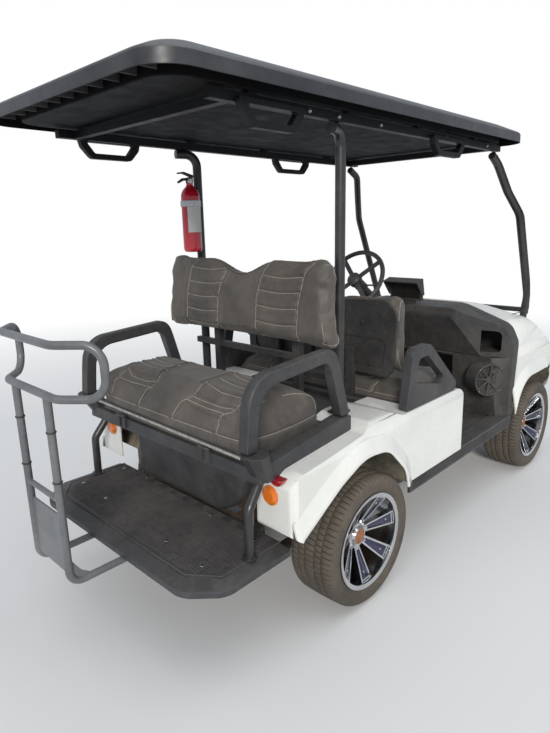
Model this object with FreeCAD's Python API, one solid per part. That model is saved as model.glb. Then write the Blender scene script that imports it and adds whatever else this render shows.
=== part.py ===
import FreeCAD, Part
import math
import os

V = FreeCAD.Vector
ORIGIN = V(0, 0, 0)
UP = V(0, 0, 1)
ACROSS = V(0, 1, 0)
FORWARD = V(1, 0, 0)

# A four-seat golf cart with a rear-facing second bench, in millimetres. It is drawn from the ground
# point under the rear axle, +X forward, +Y to the cart's left, +Z up, and moved at the end so that
# the middle of its box's underside is the origin. Half widths count from the middle plane.
WHEELBASE = 1660.0
TRACK = 1015.0
SIDE = 590.0              # half width of the body panels
PANEL = 5.0               # wall of the moulded body panels
SEAM = 0.3                # gap left between pieces that seat on each other
RUN_GAP = 0.3             # running clearance of pins and hubs

# Wheels
TYRE_R = 257.0
TYRE_W = 205.0
BEAD_R = 178.0
RIM_W = 190.0
LIP_R = 189.0
BARREL_WALL = 6.0
SPOKES = 7
SPOKE_PHASE = 29.0
HUB_R = 52.0
HUB_DEPTH = 50.0
HUB_FACE = 30.0           # outer hub face, out from the tyre's middle plane
CAP_R = 37.0
SPINDLE_R = 17.0
SPINDLE_L = 34.0

# Running gear
KINGPIN_Y = 430.0
KINGPIN_R = 9.0
KNUCKLE_H = 150.0
AXLE_TUBE_R = 32.0
DRUM_R = 82.0
RAIL_Y = 240.0
RAIL_W = 50.0
RAIL_H = 70.0
RAIL_TOP = 374.0
JACK_X = 840.0
JACK_PAD_T = 6.0
FLOOR_TOP = 392.0
FLOOR_T = 6.0

# Body
ARCH_R = 328.0
FLARE = 22.0              # how far the arch lips stand out from the panels
NOSE_X = WHEELBASE + 370.0
RAIL_FRONT_X = NOSE_X - 130.0
COWL_REAR_X = 1345.0
COWL_LEAN = 44.0          # how far the cowl's rear edge leans forward at its top
COWL_TOP = 985.0
SILL_TOP = 400.0
SILL_DROP = 65.0
SILL_IN = 500.0
SILL_REAR_X = 298.0
SILL_FRONT_X = 1344.0
FLANK_FRONT_X = 745.0     # front edge of the side panels beside the front seat
FLANK_TOP = 690.0
TAIL_X = -422.0
SKIRT_FRONT_X = -300.0
DECK_TOP = 712.0          # top of the rear body ahead of the rear bench

# Rear bench
TRAY_REAR_X = -500.0
TRAY_FRONT_X = -20.0
TRAY_HALF = 510.0
TRAY_TOP = 690.0
TRAY_DEPTH = 46.0
REAR_PAD_HALF = 452.0
REAR_PAD_T = 118.0
REAR_PAD_REAR_X = -468.0
REAR_PAD_FRONT_X = -92.0
REAR_HINGE_X = -506.0
REAR_BACK_HALF = 468.0
REAR_BACK_TOP = 1305.0
REAR_BACK_FOOT = 985.0

# Front bench
FRONT_PAD_T = 105.0
FRONT_PAD_HALF = 505.0
FRONT_PAD_REAR_X = 384.0
FRONT_PAD_FRONT_X = 798.0
FRONT_BACK_TOP = 1125.0
POD_TOP = 672.0

# Roof
ROOF_Z = 1780.0
ROOF_REAR_X = -790.0
ROOF_FRONT_X = 1400.0
ROOF_HALF = 528.0
ROOF_WALL = 5.0
ROOF_RAIL_Y = 428.0
STRUT_R = 19.0
REAR_STRUT_X = 60.0
REAR_STRUT_Y = 398.0
STRUT_FOOT_Y = 505.0

# Rear step and grab bar
STEP_TOP = 384.0
STEP_T = 34.0
STEP_FRONT_X = -372.0
STEP_REAR_X = -765.0
STEP_HALF = 535.0
BAR_R = 12.5
BAR_X = -945.0
BAR_POST_Y = 110.0
RING_Z = 1040.0
RING_HALF_H = 78.0
RING_BEND_Y = 170.0
RING_END_Y = 285.0
RING_END_X = -850.0

# Steering
WHEEL_CENTRE = V(1080, 270, 1107)
WHEEL_RING_R = 180.0
WHEEL_GRIP_R = 13.0
COLUMN_TILT = 33.0        # column's rise above the horizontal, in degrees
COLUMN_R = 24.0

PLACE = {
    "side": lambda a, b, c: V(a, c, b),
    "plan": lambda a, b, c: V(a, b, c),
    "front": lambda a, b, c: V(c, a, b),
}
NORMAL = {"side": ACROSS, "plan": UP, "front": FORWARD}


def unit(vector):
    return vector * (1.0 / vector.Length)


def bend(before, at, after, radius):
    """The start, middle and end of the arc that rounds one corner of a path."""
    back = unit(before - at)
    ahead = unit(after - at)
    half = back.getAngle(ahead) / 2
    reach = radius / math.tan(half)
    centre = at + unit(back + ahead) * (radius / math.sin(half))
    return at + back * reach, centre + unit(at - centre) * radius, at + ahead * reach


def path(corners, closed=False):
    """Straight runs joined by tangent arcs, from (point, radius) corners."""
    count = len(corners)
    stops = []
    for i, (point, radius) in enumerate(corners):
        inner = closed or 0 < i < count - 1
        if radius and inner:
            stops.append(bend(corners[i - 1][0], point, corners[(i + 1) % count][0], radius))
        else:
            stops.append((point, None, point))
    edges = []
    for i in range(count if closed else count - 1):
        start, finish = stops[i], stops[(i + 1) % count]
        if i == 0 and closed and start[1] is not None:
            edges.append(Part.Arc(*start).toShape())
        if (finish[0] - start[2]).Length > 1e-6:
            edges.append(Part.LineSegment(start[2], finish[0]).toShape())
        if finish[1] is not None and (i + 1) % count:
            edges.append(Part.Arc(*finish).toShape())
    return Part.Wire(edges)


def outline(view, corners, level=0.0):
    """A closed outline in a side (x, z), plan (x, y) or front (y, z) view; corners are (a, b, radius)."""
    return path([(PLACE[view](a, b, level), radius) for a, b, radius in corners], closed=True)


def plate(view, corners, start, end):
    """An outline given thickness from one level to another."""
    face = Part.Face(outline(view, corners, start))
    return face.extrude(NORMAL[view] * (end - start))


def block(x, y, z):
    """A box from (low, high) pairs."""
    size = (x[1] - x[0], y[1] - y[0], z[1] - z[0])
    return Part.makeBox(*size, V(x[0], y[0], z[0]))


def rod(start, end, radius, bore=0.0):
    axis = end - start
    solid = Part.makeCylinder(radius, axis.Length, start, axis)
    if bore:
        solid = solid.cut(Part.makeCylinder(bore, axis.Length, start, axis))
    return solid


def tube(corners, radius):
    """A round bar along a path of (x, y, z, bend radius) corners."""
    spine = path([(V(x, y, z), r) for x, y, z, r in corners])
    first = spine.Edges[0]
    circle = Part.makeCircle(radius, first.valueAt(first.FirstParameter), first.tangentAt(first.FirstParameter))
    return spine.makePipeShell([Part.Wire(circle)], True, False)


def ring_of(profile, centre, angle=360.0, start=0.0):
    """A (y, r) profile turned about the cross axis through a point, from an angle above +X."""
    points = [V(r, y, 0) for y, r in profile]
    face = Part.Face(Part.makePolygon(points + points[:1]))
    turned = face.revolve(ORIGIN, -ACROSS, angle)
    turned.rotate(ORIGIN, -ACROSS, start)
    turned.translate(centre)
    return turned


def join(solids):
    whole = solids[0].fuse(solids[1:]) if len(solids) > 1 else solids[0]
    return whole.removeSplitter()


def mirrored(shape):
    return shape.mirror(ORIGIN, ACROSS)


def pair(shape):
    """A piece on the cart's left and its mirror image on the right."""
    return Part.makeCompound([shape, mirrored(shape)])


def group(shapes):
    return Part.makeCompound(shapes)


def tyre():
    half = [(86.7, BEAD_R + RUN_GAP), (88.5, LIP_R + 3), (TYRE_W / 2, LIP_R + 24),
            (TYRE_W / 2 - 3, TYRE_R - 20), (TYRE_W / 2 - 22, TYRE_R)]
    profile = half + [(-y, r) for y, r in reversed(half)]
    return ring_of(profile, ORIGIN)


def spoke():
    """One wide spoke that leans outwards from hub to lip, with a sunk panel in its face."""
    inner_r, outer_r = HUB_R - 6, BEAD_R - BARREL_WALL + 2
    lean = RIM_W / 2 - 10 - HUB_FACE

    def section(radius, half, low, high):
        corners = [V(-half, low, radius), V(half, low, radius), V(half, high, radius), V(-half, high, radius)]
        return Part.makePolygon(corners + corners[:1])

    body = Part.makeLoft([section(inner_r, 15, HUB_FACE - 26, HUB_FACE - 2),
                          section(outer_r, 31, HUB_FACE + lean - 24, HUB_FACE + lean)], True, True)
    panel = Part.makeLoft([section(inner_r + 14, 9, HUB_FACE - 4, HUB_FACE + 16),
                           section(outer_r - 6, 24, HUB_FACE + lean - 8, HUB_FACE + lean + 12)], True, True)
    return body.cut(panel)


def rim():
    seat = BEAD_R - BARREL_WALL
    barrel = ring_of([(-RIM_W / 2, LIP_R), (-RIM_W / 2 + 7, BEAD_R), (RIM_W / 2 - 7, BEAD_R),
                      (RIM_W / 2, LIP_R), (RIM_W / 2 - 4, seat), (-RIM_W / 2 + 4, seat)], ORIGIN)
    hub = rod(V(0, HUB_FACE - HUB_DEPTH, 0), V(0, HUB_FACE, 0), HUB_R)
    cap = Part.makeCone(CAP_R, CAP_R - 6, 10, V(0, HUB_FACE, 0), ACROSS)
    spokes = []
    for i in range(SPOKES):
        blade = spoke()
        blade.rotate(ORIGIN, ACROSS, SPOKE_PHASE + i * 360.0 / SPOKES)
        spokes.append(blade)
    bore_end = HUB_FACE - HUB_DEPTH + SPINDLE_L + 1
    bore = rod(V(0, HUB_FACE - HUB_DEPTH - 1, 0), V(0, bore_end, 0), SPINDLE_R + RUN_GAP)
    return join([barrel, hub, cap] + spokes).cut(bore)


def wheel_place(x, side):
    """Where a wheel's middle lies; side is 1 on the left and -1 on the right."""
    return V(x, side * TRACK / 2, TYRE_R)


def at_wheel(shape, x, side):
    placed = shape.copy() if side > 0 else mirrored(shape)
    placed.translate(wheel_place(x, side))
    return placed


HUB_IN_Y = TRACK / 2 + HUB_FACE - HUB_DEPTH     # inner face of a wheel's hub


def spindle(x, flange_y, flange_r):
    """A stub that carries a left wheel: a flange against the hub and a pin inside it."""
    flange = rod(V(x, flange_y, TYRE_R), V(x, HUB_IN_Y - SEAM, TYRE_R), flange_r)
    pin = rod(V(x, flange_y, TYRE_R), V(x, HUB_IN_Y + SPINDLE_L, TYRE_R), SPINDLE_R)
    return join([flange, pin])


def rear_axle():
    """Axle tube, drive case and motor, with a drum and a spindle at each end."""
    drum_in = HUB_IN_Y - 48
    tube_body = rod(V(0, -drum_in, TYRE_R), V(0, drum_in, TYRE_R), AXLE_TUBE_R)
    case = rod(V(0, -62, TYRE_R), V(0, 62, TYRE_R), 98)
    motor = rod(V(92, -10, TYRE_R + 6), V(92, 190, TYRE_R + 6), 84)
    drum = rod(V(0, drum_in - 4, TYRE_R), V(0, HUB_IN_Y - 12, TYRE_R), DRUM_R)
    end = join([drum, spindle(0, HUB_IN_Y - 14, 40)])
    return join([tube_body, case, motor, end, mirrored(end)])


SPRING_Y = 330.0
SPRING_HALF = 330.0
LOWER_ARM_Z = TYRE_R - KNUCKLE_H / 2
UPPER_ARM_Z = TYRE_R + KNUCKLE_H / 2
EYE_T = 14.0


def leaf_spring():
    """Three leaves under the axle, with an eye at each end."""
    seat = TYRE_R - AXLE_TUBE_R - SEAM
    leaves = []
    # Leaf table: half length, top
    for half, top in ((SPRING_HALF, seat), (220, seat - 8), (130, seat - 16)):
        leaves.append(block((-half, half), (SPRING_Y - 22, SPRING_Y + 22), (top - 8, top)))
    eyes = []
    for x in (-SPRING_HALF, SPRING_HALF):
        eyes.append(rod(V(x, SPRING_Y - 22, seat), V(x, SPRING_Y + 22, seat), 15))
        hanger = block((x - 14, x + 14), (RAIL_Y + RAIL_W / 2 + SEAM, SPRING_Y + 20), (seat + 8, RAIL_TOP - 12))
        eyes.append(hanger)
    return join(leaves + eyes)


def rear_damper():
    """Damper from an eye on the axle tube up to a bracket that stands on the frame rail."""
    eye_r, reach = 14, AXLE_TUBE_R + 14 + SEAM
    low = V(reach * 0.6, SPRING_Y + 4, TYRE_R + reach * 0.8)
    high = V(120, RAIL_Y + RAIL_W / 2 + 22, FLOOR_TOP + 112)
    eye = rod(low - ACROSS * 16, low + ACROSS * 16, eye_r)
    body = rod(low + (high - low) * 0.14, low + (high - low) * 0.6, 26)
    bracket = block((96, 144), (RAIL_Y - RAIL_W / 2, RAIL_Y + RAIL_W / 2 + 40), (RAIL_TOP + SEAM, RAIL_TOP + 8))
    stay = block((96, 144), (RAIL_Y - RAIL_W / 2, RAIL_Y - RAIL_W / 2 + 8), (RAIL_TOP + SEAM, FLOOR_TOP + 126))
    hook = block((96, 144), (RAIL_Y - RAIL_W / 2, RAIL_Y + RAIL_W / 2 + 40), (FLOOR_TOP + 118, FLOOR_TOP + 126))
    return join([eye, rod(low, high, 11), body, stay, hook, bracket.cut(block((90, 150), (RAIL_Y + 30, RAIL_Y + 80), (300, 500)))])


def wishbone(level, inner_y):
    """A flat A-shaped arm from the frame to the eye around the kingpin."""
    x = WHEELBASE
    arm = plate("plan", [(x - 90, inner_y, 10), (x - 50, inner_y, 10), (x, KINGPIN_Y - 34, 6), (x + 50, inner_y, 10),
                         (x + 90, inner_y, 10), (x + 15, KINGPIN_Y + 2, 6), (x - 15, KINGPIN_Y + 2, 6)],
                level - EYE_T / 2, level + EYE_T / 2)
    eye = rod(V(x, KINGPIN_Y, level - EYE_T / 2), V(x, KINGPIN_Y, level + EYE_T / 2), 22)
    pin_hole = rod(V(x, KINGPIN_Y, level - EYE_T), V(x, KINGPIN_Y, level + EYE_T), KINGPIN_R + RUN_GAP)
    return join([arm, eye]).cut(pin_hole)


def coil_damper():
    """Coil and damper between the lower arm and a tower on the frame."""
    x = WHEELBASE
    low = V(x, KINGPIN_Y - 62, LOWER_ARM_Z + EYE_T / 2 - 2)
    high = V(x, RAIL_Y + 38, FLOOR_TOP + 150)
    axis = unit(high - low)
    coils = [rod(low + axis * (60 + 30 * i), low + axis * (76 + 30 * i), 34) for i in range(7)]
    return join([rod(low, high, 20)] + coils)


def suspension():
    inner = RAIL_Y + RAIL_W / 2 + SEAM
    tower = block((WHEELBASE - 34, WHEELBASE + 34), (inner - 40, inner + 34), (RAIL_TOP + SEAM, FLOOR_TOP + 168))
    front = join([wishbone(LOWER_ARM_Z, inner - 60), coil_damper(), tower, wishbone(UPPER_ARM_Z, inner)])
    rear = [leaf_spring(), rear_damper()]
    rack_x, rack_z = WHEELBASE + 120, TYRE_R + 4
    hangers = [block((rack_x - 14, rack_x + 14), (y - 14, y + 14), (rack_z, RAIL_TOP - RAIL_H - SEAM))
               for y in (-RAIL_Y, RAIL_Y)]
    rack = join([rod(V(rack_x, -RAIL_Y, rack_z), V(rack_x, RAIL_Y, rack_z), 20),
                 block((rack_x - 24, rack_x + 24), (40, 120), (rack_z - 24, rack_z + 36))] + hangers)
    return group([front, mirrored(front), rack] + rear + [mirrored(piece) for piece in rear])


def knuckle():
    """Left steering knuckle: a post with a pin at each end, the spindle and a steering arm."""
    x = WHEELBASE
    low, high = LOWER_ARM_Z + EYE_T / 2 + SEAM, UPPER_ARM_Z - EYE_T / 2 - SEAM
    post = rod(V(x, KINGPIN_Y, low), V(x, KINGPIN_Y, high), 21)
    pins = rod(V(x, KINGPIN_Y, LOWER_ARM_Z - EYE_T / 2), V(x, KINGPIN_Y, UPPER_ARM_Z + EYE_T / 2), KINGPIN_R)
    disc = rod(V(x, KINGPIN_Y + 26, TYRE_R), V(x, KINGPIN_Y + 36, TYRE_R), DRUM_R)
    stub = spindle(x, KINGPIN_Y, 30)
    arm = block((x, x + 118), (KINGPIN_Y - 14, KINGPIN_Y + 6), (TYRE_R - 10, TYRE_R + 10))
    return join([post, pins, disc, stub, arm])


def chassis_frame():
    """Two long rails with cross members, outriggers to the sills and a hoop at the nose."""
    rail_half = RAIL_W / 2
    rear_x = STEP_FRONT_X + SEAM
    rail = block((rear_x, RAIL_FRONT_X), (RAIL_Y - rail_half, RAIL_Y + rail_half), (RAIL_TOP - RAIL_H, RAIL_TOP))
    cross = []
    for x in (rear_x, 300, 760, 1290, RAIL_FRONT_X - 40):
        cross.append(block((x, x + 40), (-RAIL_Y, RAIL_Y), (RAIL_TOP - RAIL_H + 5, RAIL_TOP - 5)))
    out = []
    for x in (360, 820, 1270):
        out.append(block((x, x + 40), (RAIL_Y, SILL_IN - SEAM), (RAIL_TOP - 45, RAIL_TOP - 10)))
    arm_low = block((WHEELBASE - 96, WHEELBASE + 96), (150, RAIL_Y - rail_half + 6),
                    (LOWER_ARM_Z - 22, LOWER_ARM_Z + 22))
    drop = [block((WHEELBASE + x, WHEELBASE + x + 30), (RAIL_Y - rail_half + 2, RAIL_Y - 6),
                  (LOWER_ARM_Z - 10, RAIL_TOP - 20)) for x in (-96, 66)]
    cut_arm = block((WHEELBASE - 100, WHEELBASE + 100), (RAIL_Y - rail_half - 32, RAIL_Y + 40),
                    (LOWER_ARM_Z - EYE_T / 2 - SEAM, LOWER_ARM_Z + EYE_T / 2 + SEAM))
    rail_under = RAIL_TOP - RAIL_H
    jack_pad = block((JACK_X - 40, JACK_X + 40), (RAIL_Y - 22, RAIL_Y + 22), (rail_under - JACK_PAD_T, rail_under))
    side = [join([arm_low] + drop).cut(cut_arm), jack_pad] + out
    sides = [rail, mirrored(rail)] + side + [mirrored(piece) for piece in side]
    return join(cross + sides)


def moulding(side, plan, front, shrink=0.0):
    """The form common to a side, a plan and a front outline, each a (corners, low, high) row."""
    form = None
    for view, (corners, low, high) in (("side", side), ("plan", plan), ("front", front)):
        face = Part.Face(outline(view, corners, low))
        if shrink:
            face = face.makeOffset2D(-shrink)
        solid = face.extrude(NORMAL[view] * (high - low))
        form = solid if form is None else form.common(solid)
    return form


def shell_of(rows, openings):
    """A moulding hollowed to the panel wall, and left open towards each of the given directions."""
    spaces = [moulding(*rows, shrink=PANEL)]
    for way in openings:
        for space in list(spaces):
            moved = space.copy()
            moved.translate(way * (2 * PANEL))
            spaces.append(moved)
    shell = moulding(*rows)
    for space in spaces:
        shell = shell.cut(space)
    return shell


# Wheel arch openings in side view, x counted from the axle: x, height, corner radius
REAR_ARCH = [(262, 240, 0), (258, 330, 60), (222, 470, 120), (90, 600, 150), (-60, 618, 220),
             (-200, 562, 300), (-405, 440, 30), (-405, 240, 0)]
FRONT_ARCH = [(310, 240, 0), (310, 400, 60), (232, 585, 190), (-232, 585, 190), (-318, 400, 60), (-318, 240, 0)]
LIP_RISE = 62.0           # height of an arch lip above its opening


def arch_face(corners, axle_x, y, grown=0.0):
    face = Part.Face(outline("side", [(x + axle_x, z, radius) for x, z, radius in corners], y))
    return face.makeOffset2D(grown) if grown else face


def arch_hole(corners, axle_x, inner_y, grown=0.0):
    return arch_face(corners, axle_x, inner_y, grown).extrude(ACROSS * (SIDE + FLARE + 5 - inner_y))


def arch_lip(corners, axle_x, limit):
    """The flared lip of a left wheel arch: it runs out from the panel to the opening's edge."""
    def shell(rise, rows):
        return Part.makeLoft([arch_face(corners, axle_x, y, rise if high else low).OuterWire
                              for y, high, low in rows], True, True)
    edge_y = SIDE + FLARE
    outer = shell(LIP_RISE, [(SIDE - PANEL, True, 0), (SIDE, True, 0), (edge_y, False, 12)])
    inner = shell(LIP_RISE - 8, [(SIDE - PANEL - 1, True, 0), (edge_y - 6, False, 6)])
    return outer.cut(inner).cut(arch_hole(corners, axle_x, SIDE - 30)).common(limit)


# Lamp table: height, half-width place, radius
TAIL_LAMPS = ((574, 489, 34), (650, 516, 34))


def tail_lamp(height, y, radius, grown=0.0):
    """A round lens in the tail; what would stand behind the tray's corner post is cut off level."""
    dome_x = TAIL_X - 5
    lamp = rod(V(TAIL_X + 30, y, height), V(dome_x, y, height), radius + grown)
    if not grown:
        lamp = join([lamp, Part.makeCone(radius, radius * 0.66, 8, V(dome_x, y, height), -FORWARD)])
    top = TRAY_TOP - TRAY_DEPTH - SEAM + grown
    return lamp.cut(block((TAIL_X - 50, TAIL_X + 50), (0, SIDE), (top, top + 100)))


def tail_lights():
    return group([piece for row in TAIL_LAMPS for piece in (tail_lamp(*row), mirrored(tail_lamp(*row)))])


FLANK_SIDE = [(-398, 436, 12), (TAIL_X, 452, 14), (TAIL_X, 632, 45), (-385, 658, 60), (-30, 690, 0), (44, DECK_TOP, 60),
              (182, DECK_TOP, 60), (244, FLANK_TOP, 60), (FLANK_FRONT_X - 8, FLANK_TOP, 28),
              (FLANK_FRONT_X, SILL_TOP - 8, 0), (60, SILL_TOP - 8, 0)]


def tray_space():
    """The room that the rear tray takes in the body, with a seam all round."""
    return block((TRAY_REAR_X - 60, TRAY_FRONT_X + SEAM), (-TRAY_HALF - 4 - SEAM, TRAY_HALF + 4 + SEAM),
                 (TRAY_TOP - TRAY_DEPTH - SEAM, DECK_TOP + 50))


def flank():
    """Left half of the rear body: side panel, wheel arch, tail corner and the deck under the tray."""
    low, high = SILL_TOP - 40, DECK_TOP + 8
    side = (FLANK_SIDE, 300, SIDE + 20)
    plan = ([(TAIL_X - 20, 330, 0), (FLANK_FRONT_X + 20, 330, 0), (FLANK_FRONT_X + 20, SIDE, 0),
             (TAIL_X, SIDE, 26), (TAIL_X, 400, 0), (TAIL_X - 20, 400, 0)], low, high + 20)
    front = ([(325, low - 10, 0), (SIDE, low - 10, 0), (SIDE, DECK_TOP + 1, 60), (325, DECK_TOP + 1, 0)],
             TAIL_X - 20, FLANK_FRONT_X + 30)
    panel = shell_of((side, plan, front), [-ACROSS, -UP])
    panel = panel.cut(block((FRONT_PAD_REAR_X - 30 - SEAM, FLANK_FRONT_X + 40), (300, 548), (low - 30, high + 30)))
    panel = panel.cut(arch_hole(REAR_ARCH, 0, 300, LIP_RISE - 8).common(block((-600, 600), (SIDE - 12, 700), (0, 900))))
    panel = panel.cut(arch_hole(REAR_ARCH, 0, 300)).cut(tray_space())
    panel = panel.cut(block((TAIL_X - 5, SKIRT_FRONT_X + 4), (300, 424), (300, 800)))
    panel = join([panel, arch_lip(REAR_ARCH, 0, plate("side", FLANK_SIDE, SIDE - 30, SIDE + 40))])
    for row in TAIL_LAMPS:
        panel = panel.cut(tail_lamp(*row, grown=SEAM))
    return panel


def cowl_rear(height):
    return COWL_REAR_X + COWL_LEAN * (height - 386) / (COWL_TOP - 386)


COWL_ROWS = (
    ([(COWL_REAR_X, 386, 0), (cowl_rear(1020), 1020, 0), (COWL_REAR_X + 60, 985, 0),
      (COWL_REAR_X + 140, 968, 160), (WHEELBASE + 60, 820, 380), (WHEELBASE + 290, 640, 160),
      (NOSE_X, 540, 70), (NOSE_X, 400, 40), (NOSE_X - 25, 345, 12), (NOSE_X - 120, 345, 0),
      (WHEELBASE + 40, 386, 0)], -SIDE - 20, SIDE + 20),
    ([(COWL_REAR_X - 20, -SIDE, 0), (WHEELBASE + 280, -SIDE, 70), (NOSE_X, -450, 120),
      (NOSE_X, 450, 120), (WHEELBASE + 280, SIDE, 70), (COWL_REAR_X - 20, SIDE, 0)], 300, 1020),
    ([(-SIDE, 320, 0), (-SIDE, 740, 200), (-545, 890, 90), (-270, 985, 260), (270, 985, 260),
      (545, 890, 90), (SIDE, 740, 200), (SIDE, 320, 0)], COWL_REAR_X - 30, NOSE_X + 20),
)
LAMP_Y = (255.0, 440.0)
LAMP_Z = (560.0, 650.0)
LAMP_DEPTH = 45.0


def lamp_prism(grown=0.0):
    y0, y1 = LAMP_Y
    z0, z1 = LAMP_Z
    corners = [(y0 - grown, z0 + 12 - grown, 14), (y1 + grown, z0 - grown, 26),
               (y1 + grown, z1 + grown, 30), (y0 - grown, z1 - 8 + grown, 14)]
    return plate("front", corners, WHEELBASE + 160, NOSE_X + 10)


def headlights():
    outer = moulding(*COWL_ROWS)
    behind = outer.copy()
    behind.translate(-FORWARD * LAMP_DEPTH)
    lamp = outer.cut(behind).common(lamp_prism())
    return pair(lamp)


def front_cowl():
    """One-piece hood, nose and front fenders, open to the rear and below."""
    cowl = shell_of(COWL_ROWS, [-FORWARD, -UP])
    edge_y = SIDE + FLARE + 1
    fade = plate("plan", [(COWL_REAR_X, SIDE - 30, 0), (WHEELBASE + 250, SIDE - 30, 0), (WHEELBASE + 250, SIDE + 0.5, 0),
                          (WHEELBASE + 120, edge_y, 0), (COWL_REAR_X, edge_y, 0)], 386, 800)
    lip = arch_lip(FRONT_ARCH, WHEELBASE, fade)
    behind = arch_hole(FRONT_ARCH, WHEELBASE, SIDE - 12, LIP_RISE - 8).common(fade)
    hole = arch_hole(FRONT_ARCH, WHEELBASE, 260)
    for cutter in (hole, behind):
        cowl = cowl.cut(cutter).cut(mirrored(cutter))
    cowl = join([cowl, lip, mirrored(lip)])
    for prism in (lamp_prism(SEAM), mirrored(lamp_prism(SEAM))):
        cowl = cowl.cut(prism)
    leg = tube(STRUT_ROUTE, STRUT_R + SEAM)
    return cowl.cut(leg).cut(mirrored(leg))


def wheel_liners():
    """Inner arches behind each wheel opening; the rear ones have an inner wall."""
    def liner(corners, axle_x, inner_y, gap):
        outer = arch_hole(corners, axle_x, inner_y, gap + 4).common(block((-900, 2500), (0, LINER_OUT), (410, 900)))
        return outer.cut(arch_hole(corners, axle_x, inner_y - 10, gap))
    front = liner(FRONT_ARCH, WHEELBASE, 292, 8).common(moulding(*COWL_ROWS, shrink=PANEL + SEAM))
    rear = liner(REAR_ARCH, 0, 392, 8)
    wall = arch_hole(REAR_ARCH, 0, 392, 12).common(block((-362, 290), (392, 396), (410, 900)))
    wall = wall.cut(rod(V(0, 380, TYRE_R), V(0, 400, TYRE_R), 170))
    rear = join([rear.common(block((-362, 290), (392, LINER_OUT), (410, 900))), wall])
    return group([front, mirrored(front), rear, mirrored(rear)])


def lip_inside(rise):
    """Half width of a lip's inner skin at a height above the opening."""
    near, far = SIDE - PANEL - 1, SIDE + FLARE - 6
    return near + (far - near) * (LIP_RISE - 8 - rise) / (LIP_RISE - 14)


LINER_OUT = lip_inside(12) - SEAM


def front_bumper():
    """Black lower bumper under the nose."""
    z0, z1 = 285, 345 - SEAM
    rear_x = RAIL_FRONT_X + SEAM
    outer = plate("plan", [(rear_x, -308, 0), (NOSE_X - 50, -430, 60), (NOSE_X - 24, -360, 100),
                           (NOSE_X - 24, 360, 100), (NOSE_X - 50, 430, 60), (rear_x, 308, 0)], z0, z1)
    inner = plate("plan", [(rear_x - 5, -296, 0), (NOSE_X - 55, -421, 54), (NOSE_X - 30, -357, 94),
                           (NOSE_X - 30, 357, 94), (NOSE_X - 55, 421, 54), (rear_x - 5, 296, 0)], z0 - 5, z1 - 5)
    slot = plate("front", [(-190, 300, 10), (190, 300, 10), (190, 326, 10), (-190, 326, 10)],
                 NOSE_X - 60, NOSE_X)
    hang = block((rear_x, NOSE_X - 31), (RAIL_Y - 20, RAIL_Y + 20), (RAIL_TOP - RAIL_H + 8, z1 - 3))
    return join([outer.cut(inner).cut(slot), hang, mirrored(hang)])


def sills():
    """Ribbed rocker panels under the door openings."""
    outer_y = SIDE - 4
    z0, z1 = SILL_TOP - SILL_DROP, SILL_TOP
    bar = block((SILL_REAR_X, SILL_FRONT_X), (SILL_IN, outer_y), (z0, z1))
    hollow = block((SILL_REAR_X - 1, SILL_FRONT_X + 1), (SILL_IN + 4, outer_y - 12), (z0 - 1, z1 - 5))
    bar = bar.cut(hollow)
    for i in range(4):
        z = z0 + 12 + i * 11
        bar = bar.cut(block((SILL_REAR_X + 18, SILL_FRONT_X - 18), (outer_y - 5, outer_y + 1), (z, z + 5)))
    step = block((SILL_REAR_X - 1, FLANK_FRONT_X + SEAM), (SILL_IN + 20, outer_y + 1),
                 (SILL_TOP - 8 - SEAM, z1 + 1))
    return pair(bar.cut(step))


# Face of the toe board in side view
TOE_LINE = [(SILL_FRONT_X - 10, FLOOR_TOP - FLOOR_T, 0), (SILL_FRONT_X + 90, FLOOR_TOP + 172, 0),
            (SILL_FRONT_X + 96, FLOOR_TOP + 262, 0)]


def floor_pan():
    """Front floor with a toe board that rises between the wheel housings."""
    z1 = FLOOR_TOP
    floor = block((FLANK_FRONT_X - 2, SILL_FRONT_X - 4), (-SILL_IN + SEAM, SILL_IN - SEAM), (z1 - FLOOR_T, z1))
    toe = plate("side", TOE_LINE + [(x + 6, z, 0) for x, z, radius in reversed(TOE_LINE)], -284, 284)
    pads = [block((FLANK_FRONT_X + 60, FLANK_FRONT_X + 100), (y - 20, y + 20), (RAIL_TOP, z1 - FLOOR_T))
            for y in (-RAIL_Y, RAIL_Y)]
    return join([floor, toe] + pads)


DASH_ROWS = (
    ([(1238, 722, 12), (1170, 935, 30), (1188, 975, 18), (cowl_rear(990) - SEAM, 990, 0),
      (cowl_rear(722) - SEAM, 722, 0)], -SIDE - 10, SIDE + 10),
    ([(COWL_REAR_X + 60, -SIDE + 4, 0), (1302, -SIDE + 4, 16), (1170, -290, 170), (1170, 290, 170),
      (1302, SIDE - 4, 16), (COWL_REAR_X + 60, SIDE - 4, 0)], 700, 1010),
    ([(-SIDE + 4, 715, 0), (-SIDE + 4, 800, 80), (-541, 886, 90), (-270, 981, 260), (270, 981, 260),
      (541, 886, 90), (SIDE - 4, 800, 80), (SIDE - 4, 715, 0)], 1150, COWL_REAR_X + 100),
)
# Cubby in the dash: cross places, heights and floor depth
CUBBY_Y = (352.0, 532.0)
CUBBY_Z = (748.0, 868.0)
CUBBY_END_X = 1420.0
CUBBY_WALL = 4.0


def cubby(grown):
    y0, y1 = CUBBY_Y
    z0, z1 = CUBBY_Z
    corners = [(y0 - grown, z0 - grown, 22), (y1 + grown, z0 - grown, 22), (y1 + grown, z1 - 8 + grown, 30),
               (y0 - grown, z1 + grown, 22)]
    return plate("front", corners, 1150 if not grown else 1236, CUBBY_END_X + grown)


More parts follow.
